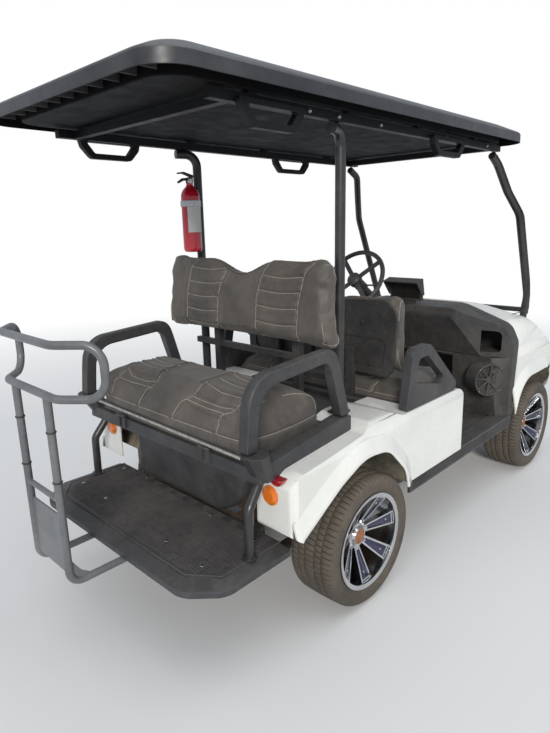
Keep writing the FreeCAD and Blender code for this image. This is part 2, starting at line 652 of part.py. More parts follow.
def dash():
    """Dash moulding with a cubby each side, the knee panel and the kick panels in front of the wheels."""
    top = shell_of(DASH_ROWS, [FORWARD, -UP])
    bins = []
    for place in (lambda shape: shape, mirrored):
        top = top.cut(place(cubby(CUBBY_WALL)))
        envelope = place(cubby(CUBBY_WALL)).cut(place(cubby(0)))
        front_face = moulding(*DASH_ROWS)
        reach = block((COWL_REAR_X - 4, CUBBY_END_X + 10), (-SIDE, SIDE), (700, 900))
        bins.append(envelope.common(join([front_face, reach])))
    knee = plate("side", [(1233, 716, 0), (1243, 724, 0), (1440, 668, 0), (1440, 662, 0)], -284, 284)
    kick_rows = (
        ([(1264, FLOOR_TOP + SEAM, 0), (1238, 722, 0), (cowl_rear(722) - SEAM, 722, 0),
          (cowl_rear(FLOOR_TOP) - SEAM, FLOOR_TOP + SEAM, 0)], 280, SIDE),
        ([(COWL_REAR_X + 40, 284, 0), (1236, 284, 0), (1236, 500, 60), (1306, SIDE - 6, 16),
          (COWL_REAR_X + 40, SIDE - 6, 0)], 380, 730),
        ([(284, 380, 0), (SIDE - 6, 380, 0), (SIDE - 6, 724, 0), (284, 724, 0)], 1200, 1400),
    )
    kick = shell_of(kick_rows, [FORWARD, UP, -UP])
    kick = kick.cut(block((1200, 1500), (SILL_IN - 8, SIDE), (300, SILL_TOP + SEAM)))
    column = rod(WHEEL_CENTRE, COLUMN_END, COLUMN_R + SEAM)
    return join([top, knee, kick, mirrored(kick)] + bins).cut(column)


def column_axis():
    tilt = math.radians(COLUMN_TILT)
    return V(math.cos(tilt), 0, -math.sin(tilt))


COLUMN_END = WHEEL_CENTRE + column_axis() * 330
COLUMN_START = WHEEL_CENTRE + column_axis() * (20 + SEAM)


def steering_column():
    """Column tube with a shroud at its head and a lever for the direction switch."""
    shaft = rod(COLUMN_START, COLUMN_END, COLUMN_R)
    head = rod(COLUMN_START + column_axis() * 12, COLUMN_START + column_axis() * 82, 33)
    root = COLUMN_START + column_axis() * 48
    lever = rod(root, root + V(10, -118, 6), 5)
    return join([shaft, head, lever])


def steering_wheel():
    """Rim, hub and three flat spokes, drawn flat and then tipped onto the column."""
    ring = Part.makeTorus(WHEEL_RING_R, WHEEL_GRIP_R)
    hub = Part.makeCylinder(40, 34, V(0, 0, -20))
    dish = Part.makeCone(40, 26, 10, V(0, 0, 14))
    spokes = []
    for angle in (0, 90, 180, 270):
        arm = block((30, WHEEL_RING_R - 4), (-13, 13), (-6, 2))
        arm.rotate(ORIGIN, UP, angle + 45)
        spokes.append(arm)
    wheel = join([ring, hub, dish] + spokes)
    wheel.rotate(ORIGIN, ACROSS, COLUMN_TILT - 90)
    wheel.translate(WHEEL_CENTRE)
    return wheel


def display():
    """Small screen with a sun hood, standing on the dash."""
    screen = block((0, 18), (-100, 100), (0, 118))
    hood = block((-48, 22), (-108, 108), (118, 124))
    cheeks = [plate("side", [(-48, 124, 0), (0, 30, 0), (22, 30, 0), (22, 124, 0)], y, y + 6)
              for y in (-108, 102)]
    foot = block((4, 40), (-40, 40), (-30, 12))
    piece = join([screen, hood, foot] + cheeks)
    piece.rotate(ORIGIN, ACROSS, -14)
    piece.translate(V(1205, 0, 996))
    return piece.cut(moulding(*DASH_ROWS))


SPEAKER_Y = 440.0
SPEAKER_Z = 570.0
SPEAKER_R = 100.0


def speakers():
    """Round speaker pods on the kick panels, with a spoked grille each."""
    start, mouth = V(1300, SPEAKER_Y, SPEAKER_Z), V(1196, SPEAKER_Y, SPEAKER_Z)
    pod = rod(start, mouth, SPEAKER_R)
    bowl = rod(mouth + FORWARD * 26, mouth - FORWARD, SPEAKER_R - 9)
    grille = [rod(mouth + FORWARD * 6, mouth + FORWARD * 14, 20)]
    for i in range(8):
        bar = block((mouth.x + 6, mouth.x + 13), (-4, 4), (12, SPEAKER_R - 6))
        bar.rotate(V(0, 0, 0), FORWARD, i * 45)
        bar.translate(V(0, SPEAKER_Y, SPEAKER_Z))
        grille.append(bar)
    pod = join([pod.cut(bowl)] + grille)
    wall = plate("side", [(1264 - SEAM, FLOOR_TOP, 0), (1238 - SEAM, 722, 0), (1400, 722, 0), (1400, FLOOR_TOP, 0)],
                 280, SIDE)
    return pair(pod.cut(wall))


def pedals():
    """Brake and accelerator pads on arms from the toe board."""
    pieces = []
    # Pedal table: cross place, half width
    for y, half in ((232, 42), (118, 28)):
        pad = plate("side", [(1302, 470, 2), (1310, 466, 2), (1352, 548, 2), (1344, 552, 2)], y - half, y + half)
        arm = plate("side", [(1322, 500, 0), (1330, 488, 0), (1442, 600, 0), (1442, 616, 0)], y - 8, y + 8)
        pieces.append(join([pad, arm]).cut(toe_side()))
    return group(pieces)


def toe_side():
    """The space taken by the toe board and what lies in front of it."""
    face = [(x - SEAM, z, 0) for x, z, radius in TOE_LINE]
    far_x = COWL_REAR_X + 300
    return plate("side", face + [(far_x, face[-1][1], 0), (far_x, face[0][1], 0)], -284, 284)


def battery_pack():
    return block((375, 715), (-205, 205), (FLOOR_TOP + 5 + SEAM, FLOOR_TOP + 225))


def seat_pod():
    """Box under the front bench, open above, with a front wall and a floor over the rails."""
    x0, x1, half = 350, FLANK_FRONT_X - 7, 548 - SEAM
    low = RAIL_TOP + SEAM
    outer = plate("side", [(x0, low, 0), (x1, low, 0), (x1 + 2, low + 60, 10), (x1 - 4, POD_TOP, 10), (x0, POD_TOP, 10)],
                  -half, half)
    inner = plate("side", [(x0 + 5, FLOOR_TOP + 5, 0), (x1 - 5, FLOOR_TOP + 5, 0), (x1 - 9, POD_TOP - 5, 0),
                           (x0 + 5, POD_TOP - 5, 0)], -half + 5, half - 5)
    under = block((x0 - 1, x1 + 5), (-RAIL_Y + RAIL_W / 2 + 6, RAIL_Y - RAIL_W / 2 - 6), (low - 1, FLOOR_TOP))
    trough = block((x0 - 1, x1 + 5), (RAIL_Y + RAIL_W / 2 + 6, half + 1), (low - 1, FLOOR_TOP))
    sill_gap = block((x0 - 1, x1 + 5), (SILL_IN - 4, half + 1), (low - 1, SILL_TOP + SEAM))
    mouth = block((x0 + 60, x1 - 60), (-470, 470), (POD_TOP - 10, POD_TOP + 5))
    pod = outer.cut(inner).cut(mouth).cut(under)
    for cutter in (trough, sill_gap):
        pod = pod.cut(cutter).cut(mirrored(cutter))
    return join([pod, deck_bridge()])


def deck_bridge():
    """Deck behind the pod that ties the two flanks together and carries the rear tray."""
    top = TRAY_TOP - TRAY_DEPTH - SEAM
    return block((SKIRT_FRONT_X + SEAM, 355), (-550, 550), (top - 6, top))


def front_seat_cushion():
    z0 = POD_TOP + SEAM
    return plate("side", [(FRONT_PAD_REAR_X, z0, 12), (FRONT_PAD_FRONT_X, z0, 30),
                          (FRONT_PAD_FRONT_X + 18, z0 + FRONT_PAD_T - 8, 40),
                          (FRONT_PAD_REAR_X, z0 + FRONT_PAD_T - 20, 25)],
                 -FRONT_PAD_HALF, FRONT_PAD_HALF)


FRONT_BACK_X = 402.0
SHELL_T = 16.0


def front_seat_back():
    x = FRONT_BACK_X + SEAM
    return moulding(
        ([(x, 805, 20), (x + 78, 790, 30), (x + 58, FRONT_BACK_TOP, 30), (x, FRONT_BACK_TOP, 16)], -500, 500),
        ([(x - 5, -452, 20), (x + 90, -452, 40), (x + 90, 452, 40), (x - 5, 452, 20)], 700, 1300),
        ([(-452, 770, 50), (-452, FRONT_BACK_TOP, 70), (-170, FRONT_BACK_TOP, 120), (0, FRONT_BACK_TOP - 36, 300),
          (170, FRONT_BACK_TOP, 120), (452, FRONT_BACK_TOP, 70), (452, 770, 50)], 300, 600))


def seat_shell():
    """Black moulded shell behind one front seat back, with two sunk panels."""
    y0, y1 = 12, 446
    top, foot = FRONT_BACK_TOP - 12, 782
    rows = (
        ([(FRONT_BACK_X - 24, foot, 8), (FRONT_BACK_X, foot, 0), (FRONT_BACK_X, top, 0),
          (FRONT_BACK_X - 10, top, 8)], 0, 500),
        ([(FRONT_BACK_X - 30, y0, 8), (FRONT_BACK_X, y0, 0), (FRONT_BACK_X, y1, 0), (FRONT_BACK_X - 30, y1, 12)],
         700, 1300),
        ([(y0, foot, 20), (y0, top - 20, 50), (y1 - 60, top, 60), (y1, top - 60, 70), (y1 - 18, foot, 50)],
         FRONT_BACK_X - 40, FRONT_BACK_X + 10),
    )
    shell = moulding(*rows)
    for low, high in ((815, 945), (965, 1085)):
        shell = shell.cut(plate("front", [(60, low, 24), (y1 - 62, low, 34), (y1 - 48, high, 34), (60, high, 24)],
                                FRONT_BACK_X - 40, FRONT_BACK_X - 13))
    return shell


def seat_back_frame():
    """Posts and cross tubes behind both seat backs, with the front seats' shells and their brackets."""
    shells = []
    for place in (lambda shape: shape, mirrored):
        bracket = block((FRONT_BACK_X - 44, FRONT_BACK_X - 22), (205, 245), (POD_TOP + SEAM, 900))
        shells.append(place(join([seat_shell(), bracket])))
    x = REAR_BACK_X + SEAM
    post = block((x, x + 30), (218, 252), (TRAY_TOP + 6, REAR_BACK_TOP - 90))
    lower = block((x + 4, x + 26), (-REAR_STRUT_Y + 14, REAR_STRUT_Y - 14), (905, 930))
    upper = block((x + 4, x + 26), (-REAR_STRUT_Y + 14, REAR_STRUT_Y - 14), (1130, 1155))
    foot = block((x - 20, x + 36), (205, 265), (TRAY_TOP + SEAM, TRAY_TOP + 8))
    return group([join([post, mirrored(post), lower, upper, foot, mirrored(foot)])] + shells)


REAR_BACK_X = -8.0


def rear_seat_back():
    x = REAR_BACK_X
    return moulding(
        ([(x, REAR_BACK_FOOT, 20), (x, REAR_BACK_TOP, 30), (x - 66, REAR_BACK_TOP, 36),
          (x - 102, REAR_BACK_FOOT + 10, 40)], -520, 520),
        ([(x + 5, -REAR_BACK_HALF, 20), (x - 108, -REAR_BACK_HALF, 34), (x - 108, REAR_BACK_HALF, 34),
          (x + 5, REAR_BACK_HALF, 20)], 900, 1400),
        ([(-REAR_BACK_HALF, REAR_BACK_FOOT, 50), (-REAR_BACK_HALF, REAR_BACK_TOP - 6, 90), (-170, REAR_BACK_TOP, 120),
          (0, REAR_BACK_TOP - 55, 200), (170, REAR_BACK_TOP, 120), (REAR_BACK_HALF, REAR_BACK_TOP - 6, 90),
          (REAR_BACK_HALF, REAR_BACK_FOOT, 50)], -160, 40))


def front_armrests():
    """Moulded hip guards beside the front bench: a three-cornered loop over a solid panel."""
    outer = plate("side", [(272, FLANK_TOP + SEAM, 14), (312, 938, 36), (446, 942, 44), (742, FLANK_TOP + SEAM, 26)],
                  534, 570)
    inner = plate("side", [(342, 795, 14), (362, 893, 20), (430, 897, 26), (588, 768, 18), (556, 748, 14)], 530, 575)
    return pair(outer.cut(inner))


ARM_Y = (466.0, 510.0)
ARM_FOOT_Z = 748.0


def rear_armrests():
    """Moulded loops at the ends of the rear bench."""
    outer = plate("side", [(-538, ARM_FOOT_Z, 0), (-512, 986, 112), (-100, 1014, 62), (-22, ARM_FOOT_Z, 0)], *ARM_Y)
    inner = plate("side", [(-490, ARM_FOOT_Z - 5, 0), (-468, 942, 92), (-136, 966, 42), (-68, ARM_FOOT_Z - 5, 0)],
                  ARM_Y[0] - 5, ARM_Y[1] + 5)
    return pair(outer.cut(inner))


REAR_AXIS_Z = 702.0
HINGE_Y = (-260.0, 260.0)


def octagon(x, y, reach, level):
    near = reach * math.tan(math.radians(22.5))
    return outline("plan", [(x - reach, y - near, 0), (x - reach, y + near, 0), (x - near, y + reach, 0),
                            (x + near, y + reach, 0), (x + reach, y + near, 0), (x + reach, y - near, 0),
                            (x + near, y - reach, 0), (x - near, y - reach, 0)], level)


def rear_seat_tray():
    """Tray that carries the rear cushion: pan, rising side rails, rear rail and octagonal corner posts."""
    z1 = TRAY_TOP
    z0 = z1 - TRAY_DEPTH
    pan = block((TRAY_REAR_X, TRAY_FRONT_X), (-TRAY_HALF, TRAY_HALF), (z0, z1))
    hollow = block((TRAY_REAR_X + 5, TRAY_FRONT_X - 5), (-TRAY_HALF + 5, TRAY_HALF - 5), (z0 - 1, z1 - 5))
    pan = pan.cut(hollow)
    rail = plate("side", [(TRAY_REAR_X + 6, z0 - 2, 0), (TRAY_FRONT_X, z0 + 22, 0), (TRAY_FRONT_X, ARM_FOOT_Z - SEAM, 8),
                          (TRAY_FRONT_X - 60, ARM_FOOT_Z - SEAM, 30), (TRAY_REAR_X + 50, z1 + 6, 0),
                          (TRAY_REAR_X + 6, z1 + 6, 0)], REAR_PAD_HALF + 9, TRAY_HALF + 4)
    side_cut = block((TRAY_REAR_X + 60, TRAY_FRONT_X - 6), (REAR_PAD_HALF + 13, TRAY_HALF - 1), (z0 - 5, z1 - 6))
    rail = rail.cut(side_cut)
    post = Part.makeLoft([octagon(-452, 492, 33, TRAY_TOP - TRAY_DEPTH), octagon(-505, 508, 44, ARM_FOOT_Z - SEAM)], True, True)
    sides = join([rail, post])
    hinges = []
    for middle in HINGE_Y:
        for low, high in ((middle - 30, middle - 10.3), (middle + 10.3, middle + 30)):
            barrel = rod(V(REAR_HINGE_X, low, REAR_AXIS_Z), V(REAR_HINGE_X, high, REAR_AXIS_Z), 6)
            leaf = block((REAR_HINGE_X - 2, TRAY_REAR_X + 3), (low, high), (z0 + 10, REAR_AXIS_Z))
            hinges.append(join([barrel, leaf]))
    return join([pan, sides, mirrored(sides)] + hinges)


def rear_seat_cushion():
    """Rear bench pad on its board, with the straps of the two hinges that let it tip over the step."""
    z0 = TRAY_TOP + SEAM
    pad = moulding(
        ([(REAR_PAD_REAR_X, z0, 0), (REAR_PAD_FRONT_X, z0, 0), (REAR_PAD_FRONT_X, z0 + REAR_PAD_T - 12, 30),
          (REAR_PAD_REAR_X, z0 + REAR_PAD_T - 6, 58)], -600, 600),
        ([(REAR_PAD_REAR_X, -REAR_PAD_HALF, 24), (REAR_PAD_FRONT_X, -REAR_PAD_HALF, 60),
          (REAR_PAD_FRONT_X, REAR_PAD_HALF, 60), (REAR_PAD_REAR_X, REAR_PAD_HALF, 24)], 600, 900),
        ([(-REAR_PAD_HALF, z0 - 2, 0), (-REAR_PAD_HALF, z0 + REAR_PAD_T - 4, 46), (0, z0 + REAR_PAD_T + 8, 500),
          (REAR_PAD_HALF, z0 + REAR_PAD_T - 4, 46), (REAR_PAD_HALF, z0 - 2, 0)], -600, 100))
    straps = []
    for middle in HINGE_Y:
        knuckle_rod = rod(V(REAR_HINGE_X, middle - 10, REAR_AXIS_Z), V(REAR_HINGE_X, middle + 10, REAR_AXIS_Z), 6)
        strap = block((REAR_HINGE_X, REAR_PAD_REAR_X + 60), (middle - 10, middle + 10), (REAR_AXIS_Z - 6, REAR_AXIS_Z - 2))
        straps.append(join([knuckle_rod, strap]))
    return join([pad] + straps)


def rear_skirt():
    """Moulded cover under the rear tray; its lower edge hangs askew, higher on the cart's left."""
    top = TRAY_TOP - TRAY_DEPTH - SEAM
    corners = [(225, top, 0), (160, 606, 60), (0, 536, 300), (-160, 506, 200), (-290, 480, 60), (-382, 505, 70),
               (-418, 590, 60), (-420, top, 0)]
    rear_x, front_x = TAIL_X - 20, SKIRT_FRONT_X
    outer = plate("front", corners, rear_x, front_x)
    inner = Part.Face(outline("front", corners, rear_x + 4)).makeOffset2D(-4).extrude(FORWARD * (front_x - rear_x))
    return outer.cut(inner)


def footplate():
    """Folding-free rear step: a shallow tray with rounded corners and a raised mat."""
    corners = [(STEP_FRONT_X, -STEP_HALF, 12), (STEP_FRONT_X, STEP_HALF, 12), (-668, STEP_HALF + 5, 80),
               (STEP_REAR_X, 440, 90), (STEP_REAR_X, -440, 90), (-668, -STEP_HALF - 5, 80)]
    mat = [(STEP_FRONT_X - 8, -STEP_HALF + 48, 10), (STEP_FRONT_X - 8, STEP_HALF - 48, 10),
           (-640, STEP_HALF - 48, 70), (STEP_REAR_X + 55, 395, 70), (STEP_REAR_X + 55, -395, 70),
           (-640, -STEP_HALF + 48, 70)]
    base = STEP_TOP - STEP_T
    top = Part.makeLoft([outline("plan", corners, STEP_TOP - 14), outline("plan", mat, STEP_TOP - 4)], True, True)
    skirt = plate("plan", corners, base, STEP_TOP - 14)
    rubber = plate("plan", mat, STEP_TOP - 4, STEP_TOP)
    hollow = Part.Face(outline("plan", mat, base - 1)).extrude(UP * (STEP_T - 9))
    return join([top, skirt, rubber]).cut(hollow)


STEP_POST_R = 16.0
STEP_POST_Y = 480.0


def footplate_supports():
    """Bent tubes from the tray down to the step, and two arms from the chassis under it."""
    post = tube([(-428, STEP_POST_Y - 12, TRAY_TOP - 30, 0), (-513, STEP_POST_Y, 552, 45),
                 (-516, STEP_POST_Y, STEP_TOP + SEAM, 0)], STEP_POST_R)
    shoe = rod(V(-516, STEP_POST_Y, STEP_TOP + SEAM), V(-516, STEP_POST_Y, STEP_TOP + 8), 25)
    post = join([post, shoe]).cut(block((-600, -300), (300, 560), (TRAY_TOP - TRAY_DEPTH - SEAM, 800)))
    base, front_x = STEP_TOP - STEP_T, STEP_FRONT_X
    arm = block((STEP_REAR_X + 60, front_x), (RAIL_Y - 22, RAIL_Y + 22), (base - 32, base - SEAM))
    riser = block((STEP_REAR_X + 70, front_x - 9), (RAIL_Y - 22, RAIL_Y + 22), (base - 32, STEP_TOP - 10 - SEAM))
    pieces = [post, join([arm, riser])]
    return group(pieces + [mirrored(piece) for piece in pieces])


def grab_bar():
    """Grab bar behind the step: two posts with gussets, a lower plate and a rounded ring on top."""
    low_z = STEP_TOP - STEP_T - BAR_R - SEAM
    front_x = -470
    post = tube([(BAR_X, BAR_POST_Y, RING_Z - RING_HALF_H, 0), (BAR_X, BAR_POST_Y, low_z, 46),
                 (front_x, BAR_POST_Y, low_z, 0)], BAR_R)
    gusset = plate("side", [(BAR_X + 4, low_z + 6, 0), (BAR_X + 78, low_z + 6, 0), (BAR_X + 40, low_z + 34, 60),
                            (BAR_X + 4, low_z + 92, 0)], BAR_POST_Y - 3, BAR_POST_Y + 3)
    cross = rod(V(BAR_X, -BAR_POST_Y, 628), V(BAR_X, BAR_POST_Y, 628), 9)
    panel = block((BAR_X - 3, BAR_X + 3), (-BAR_POST_Y, BAR_POST_Y), (low_z + 40, 575))
    low, high = RING_Z - RING_HALF_H, RING_Z + RING_HALF_H
    end_x = RING_END_X
    half = [(BAR_X, 0, low, 0), (BAR_X, RING_BEND_Y, low, 60), (end_x, RING_END_Y, low, 60),
            (end_x, RING_END_Y, high, 60), (BAR_X, RING_BEND_Y, high, 60), (BAR_X, 0, high, 0)]
    ring = tube(half, BAR_R)
    foot = block((front_x - 40, front_x + 10), (BAR_POST_Y - 16, BAR_POST_Y + 16), (low_z - 8, low_z + BAR_R))
    return join([post, mirrored(post), gusset, mirrored(gusset), cross, panel, ring, mirrored(ring), foot, mirrored(foot)])


def canopy():
    """Moulded roof: a lip, a band that slopes inwards and a low crown, hollow beneath."""
    def sheet(shrink, drop):
        x0, x1, half = ROOF_REAR_X + shrink, ROOF_FRONT_X - shrink, ROOF_HALF - shrink
        rows = ((0, 0, 130), (6, 22, 126), (96, 84, 90), (250, 118, 60))
        wires = []
        # Section rows: inset from the lip, height above it, corner radius
        for inset, rise, radius in rows:
            corners = [(x0 + inset, -half + inset, radius), (x1 - inset, -half + inset, radius),
                       (x1 - inset, half - inset, radius), (x0 + inset, half - inset, radius)]
            wires.append(outline("plan", corners, ROOF_Z + rise - drop))
        return Part.makeLoft(wires, True, True)
    return sheet(0, 0).cut(sheet(ROOF_WALL, ROOF_WALL))


RAIL_SIZE = 28.0
RAIL_UNDER = 1752.0


def roof_rails():
    """Long rails under the roof with two cross tubes, brackets to the roof and a grip loop at each corner."""
    x0, x1 = -560, 1300
    half = RAIL_SIZE / 2
    rail = block((x0, x1), (ROOF_RAIL_Y - half, ROOF_RAIL_Y + half), (RAIL_UNDER, RAIL_UNDER + RAIL_SIZE))
    crosses = [block((x, x + RAIL_SIZE), (-ROOF_RAIL_Y, ROOF_RAIL_Y), (RAIL_UNDER, RAIL_UNDER + RAIL_SIZE))
               for x in (x0 + 60, x1 - 90)]
    grips = []
    for x_low, x_high in ((-470, -200), (600, 880)):
        y = ROOF_RAIL_Y + half - 6
        outer = plate("side", [(x_low, RAIL_UNDER + 14, 4), (x_low + 10, RAIL_UNDER - 22, 16), (x_low + 48, RAIL_UNDER - 62, 22),
                               (x_high - 48, RAIL_UNDER - 62, 22), (x_high - 10, RAIL_UNDER - 22, 16), (x_high, RAIL_UNDER + 14, 4)],
                      y, y + 24)
        inner = plate("side", [(x_low + 30, RAIL_UNDER - 2, 4), (x_low + 62, RAIL_UNDER - 42, 12),
                               (x_high - 62, RAIL_UNDER - 42, 12), (x_high - 30, RAIL_UNDER - 2, 4)], y - 5, y + 30)
        grips.append(outer.cut(inner))
    brackets = [block((x, x + 36), (ROOF_RAIL_Y - half, ROOF_RAIL_Y + half), (RAIL_UNDER + 4, ROOF_Z + 100))
                for x in (-420, 40, 500, 1000)]
    under = under_roof()
    side = grips + [piece.cut(under) for piece in brackets]
    return join([rail, mirrored(rail)] + crosses + side + [mirrored(piece) for piece in side])


def under_roof():
    """Everything above the roof's inner skin, less a seam."""
    x0, x1, half = ROOF_REAR_X + ROOF_WALL, ROOF_FRONT_X - ROOF_WALL, ROOF_HALF - ROOF_WALL
    rows = ((0, 0, 130), (6, 22, 126), (96, 84, 90), (250, 118, 60))
    wires = []
    for inset, rise, radius in rows:
        corners = [(x0 + inset, -half + inset, radius), (x1 - inset, -half + inset, radius),
                   (x1 - inset, half - inset, radius), (x0 + inset, half - inset, radius)]
        wires.append(outline("plan", corners, ROOF_Z + rise - ROOF_WALL - SEAM))
    space = Part.makeLoft(wires, True, True)
    return block((ROOF_REAR_X - 50, ROOF_FRONT_X + 50), (-600, 600), (ROOF_Z - ROOF_WALL + 1, ROOF_Z + 200)).cut(space)


# Front strut route on the left: x, y, z, bend radius
STRUT_ROUTE = [(1240, ROOF_RAIL_Y, RAIL_UNDER - STRUT_R - SEAM, 0), (1312, 428, 1694, 60), (1372, 462, 1566, 160),
               (1446, 505, 1452, 160), (1655, STRUT_FOOT_Y, 1010, 180), (1672, 490, 925, 60), (1668, 484, 800, 0)]


def front_struts():
    """Bent struts from the cowl to the roof rails, tied by a low cross tube, with a gusset each."""
    side = tube(STRUT_ROUTE, STRUT_R)
    cross = rod(V(1672, -490, 925), V(1672, 490, 925), 14)
    return join([side, mirrored(side), cross])


def rear_struts():
    """Upright rear struts whose tops bend rearwards under the roof rails."""
    top = RAIL_UNDER - STRUT_R - SEAM
    side = tube([(REAR_STRUT_X - 90, ROOF_RAIL_Y, top, 0), (REAR_STRUT_X, REAR_STRUT_Y, top, 52),
                 (REAR_STRUT_X, REAR_STRUT_Y, DECK_TOP + SEAM, 0)], STRUT_R)
    foot = block((REAR_STRUT_X - 34, REAR_STRUT_X + 34), (REAR_STRUT_Y - 30, REAR_STRUT_Y + 30),
                 (DECK_TOP + SEAM, DECK_TOP + 8))
    return pair(join([side, foot]))


BOTTLE_R = 46.0
BOTTLE_Z = (1318.0, 1548.0)


def fire_extinguisher():
    """Bottle with its valve and handle, in a clamp on the left rear strut."""
    x, y = REAR_STRUT_X - STRUT_R - BOTTLE_R - 8, REAR_STRUT_Y
    z0, z1 = BOTTLE_Z
    bottle = rod(V(x, y, z0), V(x, y, z1), BOTTLE_R)
    shoulder = Part.makeCone(BOTTLE_R, 16, 34, V(x, y, z1), UP)
    neck = rod(V(x, y, z1 + 30), V(x, y, z1 + 62), 13)
    lever = plate("side", [(x - 62, z1 + 64, 2), (x + 10, z1 + 48, 2), (x + 18, z1 + 60, 2), (x - 58, z1 + 82, 2)], y - 8, y + 8)
    clamp = rod(V(x, y, z0 + 96), V(x, y, z0 + 126), BOTTLE_R + 3, BOTTLE_R + SEAM)
    arm = block((x + BOTTLE_R + 1, REAR_STRUT_X - STRUT_R - SEAM), (y - 12, y + 12), (z0 + 96, z0 + 126))
    return group([join([bottle, shoulder, neck, lever]), join([clamp, arm])])


# Lamp cable route along the right front strut: x, y, z, bend radius
CABLE_R = 2.5
CABLE_OUT = (STRUT_R + CABLE_R + SEAM) * 1.05
CABLE_ROUTE = [(x, -y - CABLE_OUT, z, radius) for x, y, z, radius in STRUT_ROUTE[:5]]
CABLE_ROUTE += [(1600, -540, 955, 25), (1540, -520, 930, 20), (1480, -500, 925, 0)]


def light_cable():
    return tube(CABLE_ROUTE, CABLE_R)


def build():
    nodes = {}
    wheel_rim = rim()
    wheel_tyre = tyre()
    # Wheel table: name, x, side
    for name, x, side in (("rear_left", 0, 1), ("rear_right", 0, -1),
                          ("front_left", WHEELBASE, 1), ("front_right", WHEELBASE, -1)):
        nodes["tyre_" + name] = at_wheel(wheel_tyre, x, side)
        nodes["rim_" + name] = at_wheel(wheel_rim, x, side)
    left = knuckle()
    nodes["knuckle_left"] = left
    nodes["knuckle_right"] = mirrored(left)
    for make in (rear_axle, suspension, chassis_frame, battery_pack, floor_pan, sills, wheel_liners, front_cowl,
                 headlights, tail_lights, front_bumper, dash, display, speakers, steering_wheel, seat_pod,
                 front_seat_cushion, front_seat_back, seat_back_frame, front_armrests, rear_seat_tray,
                 rear_seat_cushion, rear_seat_back, rear_armrests, rear_skirt, footplate, footplate_supports,
                 grab_bar, canopy, roof_rails, fire_extinguisher, light_cable):
        nodes[make.__name__] = make()
    nodes["rear_body"] = pair(flank())
    nodes["driver_controls"] = group([steering_column(), pedals()])
    nodes["roof_struts"] = group([front_struts(), rear_struts()])
    return nodes


os.makedirs("parts", exist_ok=True)
SHIFT = V(-(NOSE_X + BAR_X - BAR_R) / 2, 0, 0)
for node, shape in build().items():
    shape.translate(SHIFT)
    shape.exportStep("parts/" + node + ".step")
    print(node, "solids", len(shape.Solids), "valid", shape.isValid(), "volume", round(shape.Volume / 1e6, 2))
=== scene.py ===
import math

import bmesh
import bpy
import numpy as np
from mathutils import Matrix, Vector
from mathutils.bvhtree import BVHTree


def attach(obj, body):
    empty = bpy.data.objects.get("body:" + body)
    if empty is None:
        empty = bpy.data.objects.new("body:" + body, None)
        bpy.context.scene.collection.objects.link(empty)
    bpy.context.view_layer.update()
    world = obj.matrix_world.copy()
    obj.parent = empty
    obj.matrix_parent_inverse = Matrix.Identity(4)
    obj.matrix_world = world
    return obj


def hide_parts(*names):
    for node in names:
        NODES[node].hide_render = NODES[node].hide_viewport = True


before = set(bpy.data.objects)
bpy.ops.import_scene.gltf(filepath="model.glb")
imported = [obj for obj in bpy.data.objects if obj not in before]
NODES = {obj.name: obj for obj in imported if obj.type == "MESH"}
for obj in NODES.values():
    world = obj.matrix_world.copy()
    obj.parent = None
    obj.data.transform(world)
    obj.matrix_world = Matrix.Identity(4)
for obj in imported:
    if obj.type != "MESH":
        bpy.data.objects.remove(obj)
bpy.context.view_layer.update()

# Places below are in millimetres from the ground point under the rear axle, as in the part's source.
SHIFT = -536.25
WHEELBASE = 1660.0
HALF_TRACK = 507.5
TYRE_R = 257.0
RIM_WIDTH = 190.0
SPOKES = 7
SPOKE_PHASE = 29.0
# Each wheel's place along the cart, and its side
WHEELS = {"rear_left": (0, 1), "rear_right": (0, -1),
          "front_left": (WHEELBASE, 1), "front_right": (WHEELBASE, -1)}

SCENE = bpy.context.scene
UP = Vector((0, 0, 1))


def at(x, y, z):
    return Vector(((x + SHIFT) / 1000, y / 1000, z / 1000))


def turns(count):
    return [2 * math.pi * k / count for k in range(count)]


def with_modifier(piece, kind, **values):
    modifier = piece.modifiers.new(kind.lower(), kind)
    for key, value in values.items():
        setattr(modifier, key, value)
    return modifier


def linked(name, data):
    made = bpy.data.objects.new(name, data)
    SCENE.collection.objects.link(made)
    return made


def srgb(r, g, b):
    def linear(c):
        c /= 255
        return c / 12.92 if c <= 0.04045 else ((c + 0.055) / 1.055) ** 2.4
    return (linear(r), linear(g), linear(b), 1.0)


# Materials. Colours are written from 0 to 255.

MATS = {}
DUST = (134, 126, 114)
TAN = (158, 148, 126)


